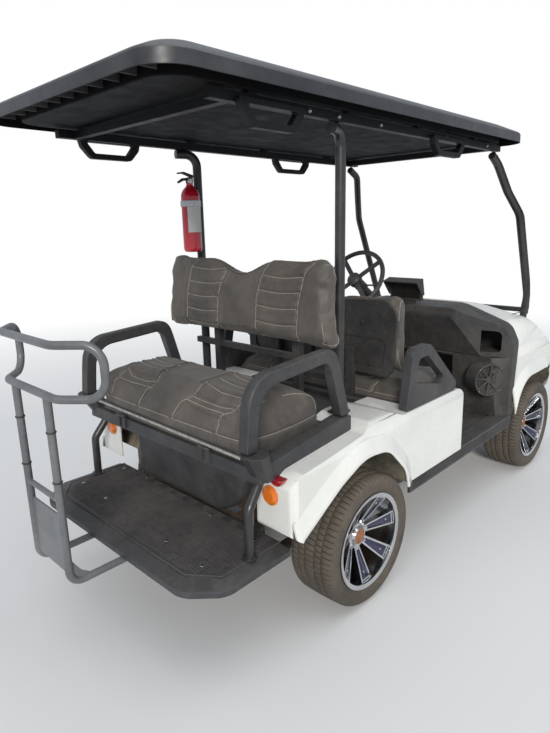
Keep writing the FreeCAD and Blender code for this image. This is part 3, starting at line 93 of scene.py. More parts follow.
class Nodes:
    """A material's node tree, with short calls for the nodes that the finishes share."""

    def __init__(self, name):
        self.mat = bpy.data.materials.new(name)
        self.mat.use_nodes = True
        self.tree = self.mat.node_tree
        self.bsdf = self.tree.nodes["Principled BSDF"]
        self.coord = self.tree.nodes.new("ShaderNodeTexCoord").outputs["Object"]

    def node(self, kind, **values):
        made = self.tree.nodes.new(kind)
        for key, value in values.items():
            if key in made.inputs:
                made.inputs[key].default_value = value
            else:
                setattr(made, key, value)
        return made

    def link(self, source, target):
        self.tree.links.new(source, target)

    def set(self, **values):
        """Numbers on the shader's own sockets, with _ for a space."""
        for key, value in values.items():
            self.bsdf.inputs[key.replace("_", " ")].default_value = value

    def noise(self, scale, detail=4.0, rough=0.6):
        made = self.node("ShaderNodeTexNoise", Scale=scale, Detail=detail, Roughness=rough)
        self.link(self.coord, made.inputs["Vector"])
        return made.outputs["Fac"]

    def cells(self, scale, randomness):
        made = self.node("ShaderNodeTexVoronoi", Scale=scale, Randomness=randomness)
        self.link(self.coord, made.inputs["Vector"])
        return made.outputs["Distance"]

    def span(self, value, low, high, out_low=0.0, out_high=1.0):
        made = self.node("ShaderNodeMapRange")
        for key, number in (("From Min", low), ("From Max", high), ("To Min", out_low), ("To Max", out_high)):
            made.inputs[key].default_value = number
        self.link(value, made.inputs["Value"])
        return made.outputs["Result"]

    def math(self, operation, a, b):
        made = self.node("ShaderNodeMath", operation=operation)
        for socket, value in zip(made.inputs, (a, b)):
            if isinstance(value, (int, float)):
                socket.default_value = value
            else:
                self.link(value, socket)
        return made.outputs["Value"]

    def mix(self, factor, a, b):
        made = self.node("ShaderNodeMix", data_type="RGBA", blend_type="MIX")
        for index, value in ((0, factor), (6, a), (7, b)):
            if isinstance(value, (int, float, tuple)):
                made.inputs[index].default_value = value
            else:
                self.link(value, made.inputs[index])
        return made.outputs[2]

    def part_of(self, axis):
        made = self.node("ShaderNodeSeparateXYZ")
        self.link(self.coord, made.inputs["Vector"])
        return made.outputs[axis]

    def facing_up(self):
        made = self.node("ShaderNodeSeparateXYZ")
        self.link(self.tree.nodes.new("ShaderNodeNewGeometry").outputs["Normal"], made.inputs["Vector"])
        return made.outputs["Z"]

    def corners(self, radius):
        """1 on corners, 0 on flat faces, and the rounded normal."""
        bevel = self.node("ShaderNodeBevel", samples=4)
        bevel.inputs["Radius"].default_value = radius
        dot = self.node("ShaderNodeVectorMath", operation="DOT_PRODUCT")
        self.link(bevel.outputs["Normal"], dot.inputs[0])
        self.link(self.tree.nodes.new("ShaderNodeNewGeometry").outputs["Normal"], dot.inputs[1])
        return self.span(dot.outputs["Value"], 0.995, 0.86), bevel.outputs["Normal"]

    def bump(self, height, strength, distance, normal=None):
        made = self.node("ShaderNodeBump", Strength=strength, Distance=distance)
        self.link(height, made.inputs["Height"])
        if normal is not None:
            self.link(normal, made.inputs["Normal"])
        return made.outputs["Normal"]


def finish(key, name, dark, light, rough, grain, metallic=0.0, coat=0.0, coat_rough=0.1, dust=None,
           edge=0.0, wear=None, bump=0.1, patch=6.0, sheen=0.0, specular=0.5):
    """A worn finish: two tones in soft patches, dust where it settles, rubbed edges and a fine grain.
    dust and wear are a colour and an amount."""
    n = Nodes(name)
    patches = n.noise(patch, 5, 0.65)
    colour = n.mix(n.span(patches, 0.36, 0.66), srgb(*dark), srgb(*light))
    settle = None
    if dust:
        level = n.span(n.facing_up(), 0.1, 1.0, 0, 0.45)
        settle = n.math("ADD", n.span(n.noise(2.6, 6, 0.7), 0.38, 0.68, 0.15, 1.0), level)
        settle = n.math("MULTIPLY", settle, n.span(n.noise(48, 4, 0.7), 0.3, 0.7, 0.6, 1.2))
        settle = n.math("MULTIPLY", settle, dust[3])
        settle.node.use_clamp = True
        colour = n.mix(settle, colour, srgb(*dust[:3]))
    normal = None
    if edge:
        corner, normal = n.corners(edge)
        if wear:
            rub = n.math("MULTIPLY", corner, n.span(n.noise(22, 4, 0.7), 0.42, 0.62, 0.1, 1.0))
            rub = n.math("MULTIPLY", rub, wear[3])
            rub.node.use_clamp = True
            colour = n.mix(rub, colour, srgb(*wear[:3]))
    n.link(colour, n.bsdf.inputs["Base Color"])
    roughness = n.span(n.noise(patch * 2.3, 4), 0.3, 0.7, rough[0], rough[1])
    if settle is not None:
        roughness = n.math("ADD", roughness, n.math("MULTIPLY", settle, 0.25))
        roughness.node.use_clamp = True
    n.link(roughness, n.bsdf.inputs["Roughness"])
    height = n.math("ADD", n.noise(grain, 3, 0.55), n.math("MULTIPLY", n.noise(grain * 0.14, 2), 0.6))
    n.link(n.bump(height, bump, 0.0006, normal), n.bsdf.inputs["Normal"])
    n.set(Metallic=metallic, Coat_Weight=coat, Coat_Roughness=coat_rough, Sheen_Weight=sheen,
          Specular_IOR_Level=specular)
    MATS[key] = n.mat


finish("white", "white_body", (226, 226, 219), (238, 238, 232), (0.16, 0.3), 900, coat=0.6,
       coat_rough=0.06, dust=(176, 168, 150, 0.12), edge=0.003, bump=0.02, patch=3.0)
finish("trim", "black_trim", (38, 40, 44), (54, 56, 61), (0.42, 0.6), 1400, dust=(*DUST, 0.22),
       edge=0.0025, wear=(104, 106, 110, 0.55), bump=0.25)
finish("interior", "dark_interior", (26, 27, 30), (40, 41, 45), (0.4, 0.62), 1600, dust=(*DUST, 0.26),
       edge=0.003, wear=(90, 90, 92, 0.35), bump=0.3)
finish("frame", "black_frame", (22, 23, 26), (36, 37, 41), (0.28, 0.45), 700, coat=0.25, coat_rough=0.2,
       dust=(*DUST, 0.16), edge=0.0015, wear=(120, 122, 126, 0.35))
finish("grab", "grab_bar_paint", (78, 81, 84), (98, 101, 103), (0.3, 0.46), 700, coat=0.3, coat_rough=0.2,
       dust=(150, 148, 142, 0.3), edge=0.0015, wear=(165, 165, 162, 0.5), bump=0.12)
finish("chassis", "chassis_paint", (24, 24, 25), (44, 42, 40), (0.5, 0.75), 500, dust=(112, 98, 80, 0.5),
       edge=0.0015, bump=0.3)
finish("steel", "axle_steel", (70, 62, 56), (104, 80, 60), (0.5, 0.75), 420, metallic=0.45,
       dust=(110, 88, 66, 0.55), edge=0.0015, bump=0.4)
finish("roof", "roof_plastic", (34, 35, 38), (48, 49, 53), (0.3, 0.5), 1500, coat=0.15, coat_rough=0.3,
       dust=(116, 112, 106, 0.2), edge=0.004, wear=(80, 81, 84, 0.2), bump=0.2)
# The roof's underside: the roof's own black plastic, made far darker as painted shade under the roof.
finish("ceiling", "roof_ceiling_painted_shade", (4, 5, 7), (9, 10, 13), (0.6, 0.8), 1200, dust=(60, 58, 54, 0.03),
       bump=0.2, specular=0.2)
finish("rails", "roof_rail_paint", (10, 11, 13), (18, 19, 22), (0.4, 0.55), 900, dust=(80, 78, 74, 0.05),
       edge=0.0015, wear=(110, 112, 116, 0.3), specular=0.3)
finish("battery", "battery_case", (30, 30, 33), (46, 44, 42), (0.5, 0.7), 800, dust=(*DUST, 0.4),
       edge=0.003, bump=0.2)
finish("liner", "liner_dust", (40, 40, 40), (62, 60, 56), (0.7, 0.9), 500, dust=(*TAN, 0.85),
       edge=0.002, bump=0.5)
finish("chrome", "rim_machined", (196, 198, 202), (214, 215, 217), (0.08, 0.2), 900, metallic=1.0,
       dust=(120, 112, 100, 0.14), edge=0.0015, bump=0.03)
finish("insert", "rim_insert", (20, 22, 52), (34, 36, 78), (0.16, 0.3), 900, metallic=0.3, coat=0.8,
       coat_rough=0.08, dust=(*DUST, 0.1), edge=0.001, bump=0.05)
finish("rust", "hub_rust", (120, 70, 42), (160, 104, 72), (0.7, 0.9), 260, dust=(170, 130, 100, 0.3),
       edge=0.001, bump=0.6, patch=30)
finish("zinc", "zinc_screws", (176, 178, 178), (205, 205, 202), (0.2, 0.4), 900, metallic=1.0, bump=0.05)
finish("red", "extinguisher_red", (190, 12, 36), (208, 18, 46), (0.14, 0.24), 900, coat=0.8,
       coat_rough=0.05, dust=(170, 120, 110, 0.08), edge=0.002, bump=0.02)
finish("label", "blank_label", (212, 210, 204), (226, 224, 218), (0.35, 0.5), 900, dust=(*DUST, 0.1),
       bump=0.04)
finish("rubber", "cable_rubber", (24, 24, 25), (40, 39, 38), (0.55, 0.75), 900, dust=(*DUST, 0.2),
       bump=0.15)
finish("tyre", "tyre_rubber", (52, 49, 46), (74, 69, 63), (0.75, 0.92), 420, dust=(126, 114, 98, 0.5),
       edge=0.001, wear=(120, 112, 100, 0.3), bump=0.4, patch=9)
finish("vinyl", "seat_vinyl", (56, 52, 49), (84, 78, 71), (0.45, 0.7), 1100, dust=(122, 114, 103, 0.34),
       bump=0.35, patch=7, sheen=0.15)
finish("thread", "seat_thread", (150, 144, 132), (178, 172, 158), (0.7, 0.9), 1200, bump=0.2, patch=40)
finish("mat", "step_rubber", (48, 47, 49), (66, 64, 64), (0.65, 0.85), 800, dust=(118, 110, 104, 0.36),
       edge=0.001, wear=(110, 106, 104, 0.3), bump=0.3)


def lens(key, name, colour, transmission, lower=None):
    """Moulded lens glass. lower is the colour of the lenses below 612 mm."""
    n = Nodes(name)
    full = srgb(*colour)
    tone = n.mix(n.span(n.noise(14, 3), 0.3, 0.7), full, tuple(c * 0.8 for c in full[:3]) + (1,))
    if lower:
        tone = n.mix(n.math("GREATER_THAN", n.part_of("Z"), 0.612), srgb(*lower), tone)
    n.link(tone, n.bsdf.inputs["Base Color"])
    n.link(n.span(n.noise(60, 3), 0.3, 0.7, 0.06, 0.16), n.bsdf.inputs["Roughness"])
    n.link(n.bump(n.cells(260, 0.3), 0.35, 0.0012), n.bsdf.inputs["Normal"])
    n.set(Transmission_Weight=transmission, Coat_Weight=0.8, Coat_Roughness=0.05)
    MATS[key] = n.mat


finish("strip", "edge_strip", (168, 168, 164), (214, 212, 206), (0.4, 0.6), 700,
       dust=(120, 114, 104, 0.45), bump=0.3, patch=40)
lens("tail_red", "tail_lenses", (170, 10, 34), 0.1, (232, 118, 8))
lens("clear", "lens_clear", (235, 238, 240), 0.92)
finish("screen", "screen_glass", (10, 11, 14), (16, 17, 21), (0.05, 0.12), 700, coat=1.0, coat_rough=0.03,
       dust=(*DUST, 0.1), edge=0.001, bump=0.02)

PLAIN = {
    "white": ["front_cowl", "rear_body"],
    "trim": ["sills", "front_armrests", "rear_armrests", "rear_seat_tray", "rear_skirt", "front_bumper",
             "footplate"],
    "interior": ["dash", "display", "speakers", "seat_pod", "floor_pan", "driver_controls", "steering_wheel",
                 "seat_back_frame"],
    "frame": ["roof_struts", "footplate_supports"],
    "rails": ["roof_rails"],
    "grab": ["grab_bar"],
    "chassis": ["chassis_frame", "suspension"],
    "steel": ["rear_axle", "knuckle_left", "knuckle_right"],
    "roof": ["canopy"],
    "battery": ["battery_pack"],
    "liner": ["wheel_liners"],
    "chrome": ["rim_" + wheel for wheel in WHEELS],
    "red": ["fire_extinguisher"],
    "rubber": ["light_cable"],
    "tail_red": ["tail_lights"],
    "clear": ["headlights"],
    "vinyl": ["front_seat_cushion", "front_seat_back", "rear_seat_cushion", "rear_seat_back"],
    "tyre": ["tyre_" + wheel for wheel in WHEELS],
}
for key, names in PLAIN.items():
    for name in names:
        slots = NODES[name].data.materials
        if not len(slots):
            slots.append(MATS[key])
        for index in range(len(slots)):
            slots[index] = MATS[key]


# Rounded edges of the moulded pieces, in metres
ROUNDED = {"rear_armrests": 0.009, "front_armrests": 0.008, "rear_seat_tray": 0.004, "footplate": 0.003,
           "rear_body": 0.004, "front_cowl": 0.004, "dash": 0.004, "seat_pod": 0.004, "sills": 0.003,
           "battery_pack": 0.003}
for name, width in ROUNDED.items():
    with_modifier(NODES[name], "WELD", merge_threshold=0.00005)
    with_modifier(NODES[name], "BEVEL", width=width, segments=2, limit_method="ANGLE",
                  angle_limit=math.radians(38), harden_normals=True, use_clamp_overlap=True)


# Mesh making

# The faces of eight corners, four below and then four above
BLOCK_FACES = ((3, 2, 1, 0), (4, 5, 6, 7), (0, 1, 5, 4), (1, 2, 6, 5), (2, 3, 7, 6), (3, 0, 4, 7))


class Shape:
    """Collects loose solids into one mesh. Points are in millimetres."""

    def __init__(self):
        self.points, self.faces, self.which = [], [], []

    def add(self, points, faces, material=0):
        base = len(self.points)
        self.points += [tuple(p) for p in points]
        self.faces += [tuple(base + i for i in face) for face in faces]
        self.which += [material] * len(faces)

    def grid(self, rows, wrap_rows, wrap_columns, material=0, caps=False):
        """Quads between rows of points."""
        count, width = len(rows), len(rows[0])
        faces = []
        for i in range(count if wrap_rows else count - 1):
            for j in range(width if wrap_columns else width - 1):
                a, b = i * width + j, i * width + (j + 1) % width
                c, d = ((i + 1) % count) * width + (j + 1) % width, ((i + 1) % count) * width + j
                faces.append((a, b, c, d))
        if caps:
            faces.append(tuple(reversed(range(width))))
            faces.append(tuple((count - 1) * width + j for j in range(width)))
        self.add([p for row in rows for p in row], faces, material)

    def box(self, centre, size, axes=None, material=0):
        axes = axes or (Vector((1, 0, 0)), Vector((0, 1, 0)), UP)
        points = []
        for sz in (-1, 1):
            for sx, sy in ((-1, -1), (1, -1), (1, 1), (-1, 1)):
                points.append(Vector(centre) + axes[0] * (sx * size[0] / 2) + axes[1] * (sy * size[1] / 2)
                              + axes[2] * (sz * size[2] / 2))
        self.add(points, BLOCK_FACES, material)

    def lathe(self, profile, centre, axis, count=24, material=0, closed=False):
        """A (radius, height) profile turned about an axis; ends at radius 0 close to a point."""
        axis = Vector(axis).normalized()
        side = axis.orthogonal().normalized()
        other = axis.cross(side)
        rows = []
        for radius, height in profile:
            middle, reach = Vector(centre) + axis * height, max(radius, 0.01)
            rows.append([middle + (side * math.cos(t) + other * math.sin(t)) * reach for t in turns(count)])
        self.grid(rows, closed, True, material, caps=not closed)

    def tube(self, points, radius, count=8, material=0, closed=False, flat=1.0):
        points = [Vector(p) for p in points]
        rows = []
        up = Vector((0.01, 0.02, 1)).normalized()
        for i, p in enumerate(points):
            ahead = points[(i + 1) % len(points)] if closed or i + 1 < len(points) else p
            back = points[i - 1] if closed or i else p
            along = (ahead - back).normalized()
            side = along.cross(up)
            side = side.normalized() if side.length > 1e-4 else along.orthogonal().normalized()
            other = side.cross(along)
            rows.append([p + (side * math.cos(t) + other * math.sin(t) * flat) * radius
                         for t in turns(count)])
        self.grid(rows, closed, True, material, caps=not closed)

    def mirrored(self):
        """Adds the mirror image across the middle plane."""
        base = len(self.points)
        self.points += [(x, -y, z) for x, y, z in self.points]
        self.faces += [tuple(base + i for i in reversed(face)) for face in self.faces]
        self.which += list(self.which)

    def made(self, name, body, materials, slot, angle=35, node=None):
        """The piece, on its body. slot is not used. node is the solid that it takes the place of."""
        mesh = bpy.data.meshes.new(name)
        mesh.from_pydata([at(*p) for p in self.points], [], self.faces)
        for material in materials:
            mesh.materials.append(MATS[material])
        mesh.polygons.foreach_set("material_index", self.which)
        mesh.shade_smooth()
        mesh.set_sharp_from_angle(angle=math.radians(angle))
        mesh.update()
        piece = linked(name, mesh)
        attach(piece, body)
        if node:
            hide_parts(node)


# Wheels

TREAD_BLOCKS = 76
# The tread's ribs, from their low to their high side across
RIBS = [(-82, -55), (-50, -24.5), (-19.5, 19.5), (24.5, 50), (55, 82)]


def tyre_section():
    """Place across, radius, and how far the tread's cross cuts reach it."""
    rows = [(86.7, 178.6, 0), (88.2, 188, 0), (90.5, 192, 0), (96, 200, 0), (100.5, 210, 0), (102.3, 221, 0),
            (101, 232, 0), (97.5, 241, 0), (92, 247.5, 0.5), (87, 251.5, 1)]
    left = [(-y, r, cut) for y, r, cut in rows]
    middle = []
    for index, (low, high) in enumerate(RIBS):
        for y in (low, low + 1.2, (low + high) / 2, high - 1.2, high):
            crown = TYRE_R - 0.2 - 3.2 * (y / 82) ** 2
            middle.append((y, crown - (0.8 if y in (low, high) else 0), 1))
        if index < len(RIBS) - 1:
            for y in (high + 0.6, RIBS[index + 1][0] - 0.6):
                middle.append((y, TYRE_R - 8.5, 0))
    return left + middle + list(reversed(rows))


def tyre_piece(name, body, x, side):
    section = tyre_section()
    shape = Shape()
    rows = []
    pitch = 2 * math.pi / TREAD_BLOCKS
    for k in range(TREAD_BLOCKS):
        for share, depth in ((0.0, 6.0), (0.13, 6.0), (0.17, 0.0), (0.96, 0.0)):
            row = []
            for y, radius, cut in section:
                shift = 0.5 * pitch if 20 < abs(y) < 52 else 0.0
                slant = y / 82 * 0.25 * pitch if abs(y) <= 86 else math.copysign(0.25 * pitch, y)
                angle = k * pitch + share * pitch + shift * (abs(y) < 52) + slant
                r = radius - depth * cut
                row.append((x + r * math.sin(angle), side * HALF_TRACK + y, TYRE_R + r * math.cos(angle)))
            rows.append(row)
    shape.grid(rows, True, True)
    # Bead line and raised band on each sidewall
    for edge in (-1, 1):
        for radius, y, thick in ((206, 98.6, 1.3), (226, 101.6, 0.9)):
            ring = [(x + radius * math.sin(t), side * HALF_TRACK + edge * y, TYRE_R + radius * math.cos(t))
                    for t in turns(96)]
            shape.tube(ring, thick, 6, closed=True)
    shape.made("tread_" + name, body, ["tyre"], "tyre", 40, "tyre_" + name)


def wheel_details(name, body, x, side):
    """Inserts in the spokes' sunk panels, their screws, lug nuts, hub centre and valve."""
    shape = Shape()
    face = 30.0
    lean = RIM_WIDTH / 2 - 10 - face
    inner, outer = 46.0, 174.0
    out = Vector((0, side, 0))

    def level(radius):
        return face + lean * (radius - inner) / (outer - inner)

    def place(turn, radius, half, depth):
        """radius runs towards +Z at turn 0, turned about +Y as in the part's source."""
        px = half * math.cos(turn) + radius * math.sin(turn)
        pz = -half * math.sin(turn) + radius * math.cos(turn)
        return (x + px, side * (HALF_TRACK + depth), TYRE_R + pz)

    for i in range(SPOKES):
        turn = math.radians(SPOKE_PHASE + i * 360 / SPOKES)
        rows = []
        for radius, half in ((66, 9.2), (100, 13.5), (135, 18), (164, 21.8)):
            top = level(radius) - 6.2
            profile = ((-half, top - 4), (-half, top), (-half + 1.5, top + 1),
                       (half - 1.5, top + 1), (half, top), (half, top - 4))
            rows.append([place(turn, radius, across, depth) for across, depth in profile])
        if side < 0:
            rows = [list(reversed(row)) for row in rows]
        shape.grid(rows, False, True, 0, caps=True)
        centre = Vector(place(turn, 140, 0, level(140) - 5.2))
        shape.lathe([(0, -2), (4.6, -2), (4.6, 1.4), (3.2, 3), (0, 3.4)], centre, out, 12, 1)
    hub = Vector((x, side * (HALF_TRACK + face), TYRE_R))
    centre_cap = [(0, 8), (30.4, 8), (30.4, 10.6), (24, 12.5), (17, 12.5), (15, 10.8), (13, 10.8), (11, 14.5),
                  (0, 15.5)]
    shape.lathe(centre_cap, hub, out, 28, 2)
    for k in range(4):
        t = math.radians(45 + 90 * k)
        nut = hub + Vector((math.cos(t) * 44, 0, math.sin(t) * 44))
        shape.lathe([(0, -4), (7.6, -4), (7.6, 9), (5, 13), (0, 14.5)], nut, out, 6, 1)
    valve = Vector((x + 158 * math.sin(0.1), side * (HALF_TRACK + 66), TYRE_R - 158 * math.cos(0.1)))
    shape.lathe([(0, 0), (4, 0), (4, 16), (2.8, 18), (2.8, 27), (0, 28)], valve, out, 10, 3)
    shape.made("wheel_fittings_" + name, body, ["insert", "zinc", "rust", "rubber"], "rim_machined")


# Roof: the shell with its ribs, and the ceiling tray inside it

ROOF_REAR = -785.0
ROOF_FRONT = 1400.0
ROOF_HALF = 532.0


def ring_row(inset, height, radius):
    x0, x1, y1 = ROOF_REAR + inset + radius, ROOF_FRONT - inset - radius, ROOF_HALF - inset - radius
    row = []
    for cx, cy, first in ((x1, y1, 0), (x0, y1, 90), (x0, -y1, 180), (x1, -y1, 270)):
        for k in range(9):
            t = math.radians(first + 90 * k / 8)
            row.append((cx + radius * math.cos(t), cy + radius * math.sin(t), height))
    return row


def roof():
    low, wall = 1788.0, 5.0
    rows = ((0, 0, 110), (1.2, 36, 109), (5, 42, 106), (10, 46, 103), (92, 84, 80), (250, 108, 60))
    shape = Shape()
    outer = [ring_row(inset, low + rise, radius) for inset, rise, radius in rows]
    inner = [ring_row(inset + wall, low + max(rise - wall, 0), radius - wall) for inset, rise, radius in rows]
    shape.grid(list(reversed(inner)) + outer, False, True, caps=True)
    # The shell's inside and the ceiling tray take material 1, the ceiling finish, whose very dark colour is
    # painted shade under the roof.
    inside = len(inner) * len(inner[0])
    shape.which[:inside] = [1] * inside
    ceiling = [ring_row(inset, low + rise, radius)
               for inset, rise, radius in ((80, 72, 90), (80, 3, 90), (82, 0, 88), (90, 0, 82))]
    shape.grid(ceiling, False, True, 1, caps=True)
    for i in range(-5, 6):
        y = i * 84.0
        points = [(-782, 1798), (-707, 1798), (-707, 1850), (-722, 1850), (-781, 1822)]
        section = [[(x, y + side, z) for x, z in points] for side in (-2, 2)]
        shape.grid(section, False, True, 2, caps=True)
    # Raised seams that run fore and aft over the crown
    for y in (-330, -165, 0, 165, 330):
        start, end = -505 - 0.05 * abs(y), 1120 + 0.05 * abs(y)
        seam = ((start, 106), (start + 60, 107.6), (end - 60, 107.6), (end, 106))
        shape.tube([(x, y, low + rise) for x, rise in seam], 4.5, 6, flat=0.4)
    shape.made("roof_shell", "root", ["roof", "ceiling", "trim"], "roof_plastic", 30, "canopy")


roof()


# Fittings

def extinguisher():
    """Bottle with a blank label, one clamp to its strut, and a valve with levers, gauge and pin."""
    shape = Shape()
    x, y, clamp_z = -2.0, 378.0, 1524
    foot = (x, y, 0)
    body = [(0, 1316), (28, 1316), (36, 1319), (40, 1327), (41, 1336), (41, 1552), (40, 1562), (36, 1574),
            (28, 1586), (19, 1595), (15, 1601), (15, 1612), (0, 1612)]
    shape.lathe(body, foot, UP, 40, 0)
    arc = [math.radians(-150 + 10 * k) for k in range(16)]
    label = [[(x + 41.7 * math.cos(t), y + 41.7 * math.sin(t), z) for t in arc]
             for z in (1402, 1440, 1480, 1520)]
    shape.grid(label, False, False, 1)
    band = [(42.4, clamp_z - 13), (44.4, clamp_z - 12), (44.4, clamp_z + 12), (42.4, clamp_z + 13)]
    shape.lathe(band, foot, UP, 40, 2, closed=True)
    shape.box((x - 30, y - 32, clamp_z), (16, 5, 18), (Vector((0.7, -0.7, 0)), Vector((0.7, 0.7, 0)), UP), 2)
    way = Vector((62, 20, 0)).normalized()
    shape.box(Vector((x, y, clamp_z)) + way * 45, (16, 20, 22), (way, way.cross(UP), UP), 2)
    valve = [(0, 1608), (14, 1608), (16, 1612), (16, 1622), (12, 1626), (12, 1634), (0, 1634)]
    shape.lathe(valve, foot, UP, 20, 3)
    lower = [(16, 1618), (14, 1634), (-36, 1630), (-62, 1614), (-60, 1608), (-34, 1620), (-2, 1620)]
    upper = [(18, 1634), (16, 1644), (-34, 1656), (-60, 1652), (-60, 1646), (-34, 1648), (4, 1636)]
    for profile, half in ((lower, 7), (upper, 8)):
        sides = [[(x + px, y + side * half, pz) for px, pz in profile] for side in (-1, 1)]
        shape.grid(sides, False, True, 3, caps=True)
    gauge = (x - 10, y - 12, 1620)
    shape.lathe([(0, 0), (11, 0), (12, 2), (12, 8), (10, 9), (0, 9)], gauge, (0, -1, 0), 20, 2)
    shape.lathe([(0, 9.2), (9, 9.2), (9, 9.6), (0, 9.6)], gauge, (0, -1, 0), 20, 1)
    pin = ((0, 1640), (-14, 1646), (-20, 1638), (-14, 1630), (-4, 1633))
    shape.tube([(x - 6, y + py, z) for py, z in pin], 1.2, 6, 2)
    shape.made("extinguisher_bottle", "root", ["red", "label", "zinc", "rubber"], "extinguisher_red", 32,
               "fire_extinguisher")


def speaker_pods():
    """Round speakers in the footwell's corners, turned towards the front bench."""
    shape = Shape()
    face = Vector((1216, 512, 608))
    turn = math.radians(180 - 57)
    out = Vector((math.cos(turn), math.sin(turn), 0))
    side = Vector((-out.y, out.x, 0))
    shape.lathe([(88, -92), (88, -4), (85, 0), (80, 0), (78.5, -3), (78.5, -22), (0, -24)], face, out, 40, 0)
    shape.lathe([(0, -22), (60, -20), (72, -10), (76, -10), (76, -16), (0, -26)], face, out, 40, 1)
    shape.lathe([(0, -7), (15, -7), (20, -10), (20, -15), (0, -15)], face, out, 24, 0)
    for ring in (42, 62):
        points = [face + out * -10 + (side * math.cos(t) + UP * math.sin(t)) * ring for t in turns(40)]
        shape.tube(points, 1.8, 6, 0, closed=True)
    for i in range(8):
        t = math.radians(i * 45 + 8)
        along = side * math.cos(t) + UP * math.sin(t)
        shape.box(face + out * -10 + along * 47, (66, 8, 8), (along, out.cross(along), out), 0)
    for i in range(4):
        t = math.radians(45 + 90 * i)
        spot = face + out * -1 + (side * math.cos(t) + UP * math.sin(t)) * 84
        shape.lathe([(0, 0), (3, 0), (2.4, 1.6), (0, 1.8)], spot, out, 10, 2)
    shape.mirrored()
    shape.made("speaker_pods", "root", ["interior", "rubber", "zinc"], "dark_interior", node="speakers")


def step_mat():
    """Basket weave of short bars, the screws that hold the mat, and a rubbed edge."""
    shape = Shape()
    top, cell = 384.0, 40.0

    def on_mat(x, y):
        slant = max(0.0, -640 - x) * 92 / 70
        return -704 < x < -384 and abs(y) < 481 - slant

    for i in range(9):
        for j in range(25):
            cx, cy = -400 - i * cell + 4, (j - 12) * cell
            lengthwise = (i + j) % 2 == 0
            for k in range(4):
                off = (k - 1.5) * cell / 4
                x, y = (cx, cy + off) if lengthwise else (cx + off, cy)
                sx, sy = (cell - 5, cell / 4 - 3.4) if lengthwise else (cell / 4 - 3.4, cell - 5)
                corners = [(x + a * sx / 2, y + b * sy / 2) for a, b in ((-1, -1), (1, -1), (1, 1), (-1, 1))]
                if not all(on_mat(px, py) for px, py in corners):
                    continue
                taper = 0.8 if lengthwise else 0.93
                low = [(px, py, top - 0.5) for px, py in corners]
                high = [(x + (px - x) * 0.86, y + (py - y) * taper, top + 2.8) for px, py in corners]
                shape.add(low + high, BLOCK_FACES)
    screws = ((-606, 440), (-614, 246), (-398, 279), (-637, -194), (-423, -173), (-646, -400), (-433, -416),
              (-412, 440))
    for x, y in screws:
        shape.lathe([(0, -1), (7.5, -1), (7.5, 1.6), (5.5, 3.2), (0, 3.6)], (x, y, top + 0.4), UP, 14, 1)
    edge = [(-380, -487), (-640, -487), (-710, -395), (-710, 395), (-640, 487), (-380, 487)]
    shape.tube([(x, y, top + 0.2) for x, y in edge], 3.0, 8, 0)
    shape.made("step_mat_weave", "root", ["mat", "zinc"], "black_trim")


def tray_strip():
    """The twisted edge strip under the rear cushion."""
    shape = Shape()

    def height(y):
        return 720 + 6 * y / 440

    ys = [-440 + 880 * k / 40 for k in range(41)]
    section = ((-493, -7), (-500, -7), (-501.5, -5.5), (-501.5, 5.5), (-500, 7), (-493, 7))
    shape.grid([[(x, y, height(y) + z) for x, z in section] for y in ys], False, True, 0, caps=True)
    twist = (Vector((1, 0, 0)), Vector((0, 0.9, 0.44)), Vector((0, -0.44, 0.9)))
    for k in range(110):
        y = -436 + 872 * k / 109
        shape.box((-502.2, y, height(y)), (2.4, 4.2, 9.5), twist, 1)
    shape.made("cushion_edge_strip", "rear_seat", ["trim", "strip"], "black_trim")


def fittings():
    """Bolts, screw caps, the grab bar's ties and the screen's glass."""
    bolts = Shape()
    head = [(0, 0), (8, 0), (8, 1.4), (5.5, 1.4), (5.5, 5), (4, 6), (0, 6)]
    for x in (-157, -7, 241, 744, 1143):
        bolts.lathe(head, (x, 441.5, 1767), (0, 1, 0), 12)
    bolts.mirrored()
    bolts.made("rail_bolts", "root", ["zinc"], "black_frame")
    caps = Shape()
    for y, z in ((-275, 1009), (-328, 808), (275, 1009), (328, 808)):
        caps.lathe([(0, 0), (10, 0), (10, 2), (7, 4), (0, 4)], (384, y, z), (-1, 0, 0), 16)
    caps.made("shell_caps", "root", ["rubber"], "dark_interior")
    ties = Shape()
    post_x, post_y, tie_r = -945, 110, 13.5
    for y in (-post_y, post_y):
        for z in (690, 850):
            points = [(post_x + tie_r * math.cos(t), y + tie_r * math.sin(t), z) for t in turns(20)]
            ties.tube(points, 2.0, 6, 0, closed=True, flat=1.6)
    ties.made("bar_ties", "root", ["rubber"], "cable_rubber")
    screen = Shape()
    lean = math.radians(-14)
    across, up = Vector((0, 1, 0)), Vector((math.sin(lean), 0, math.cos(lean)))
    out = across.cross(up)
    origin = Vector((1205, 0, 996))
    centre = origin + up * 62 - Vector((abs(out.x), 0, 0)) * 1.0
    screen.box(centre, (2.4, 176, 96), (out, across, up))
    screen.made("screen_glass", "root", ["screen"], "screen", 30)


def skirt():
    """Moulded cover between the tail corners, with a large rounded lower corner on the cart's right."""
    outline = [(343, 638), (343, 425), (338, 410), (322, 402), (60, 398), (-150, 394), (-200, 402),
               (-250, 428), (-300, 470), (-326, 520), (-338, 580), (-340, 638)]
    middle = Vector((0, 520))
    shape = Shape()
    rows = []
    for x, inset in ((-350, 0), (-372, 0), (-382, 3), (-388, 9), (-391, 18), (-393, 40)):
        row = []
        for y, z in outline:
            inward = (middle - Vector((y, z))).normalized() * inset
            row.append((x, y + inward.x, z + (inward.y if z < 630 else 0)))
        rows.append(list(reversed(row)))
    shape.grid(rows, False, True, caps=True)
    shape.made("skirt_cover", "root", ["trim"], "black_trim", 40, "rear_skirt")


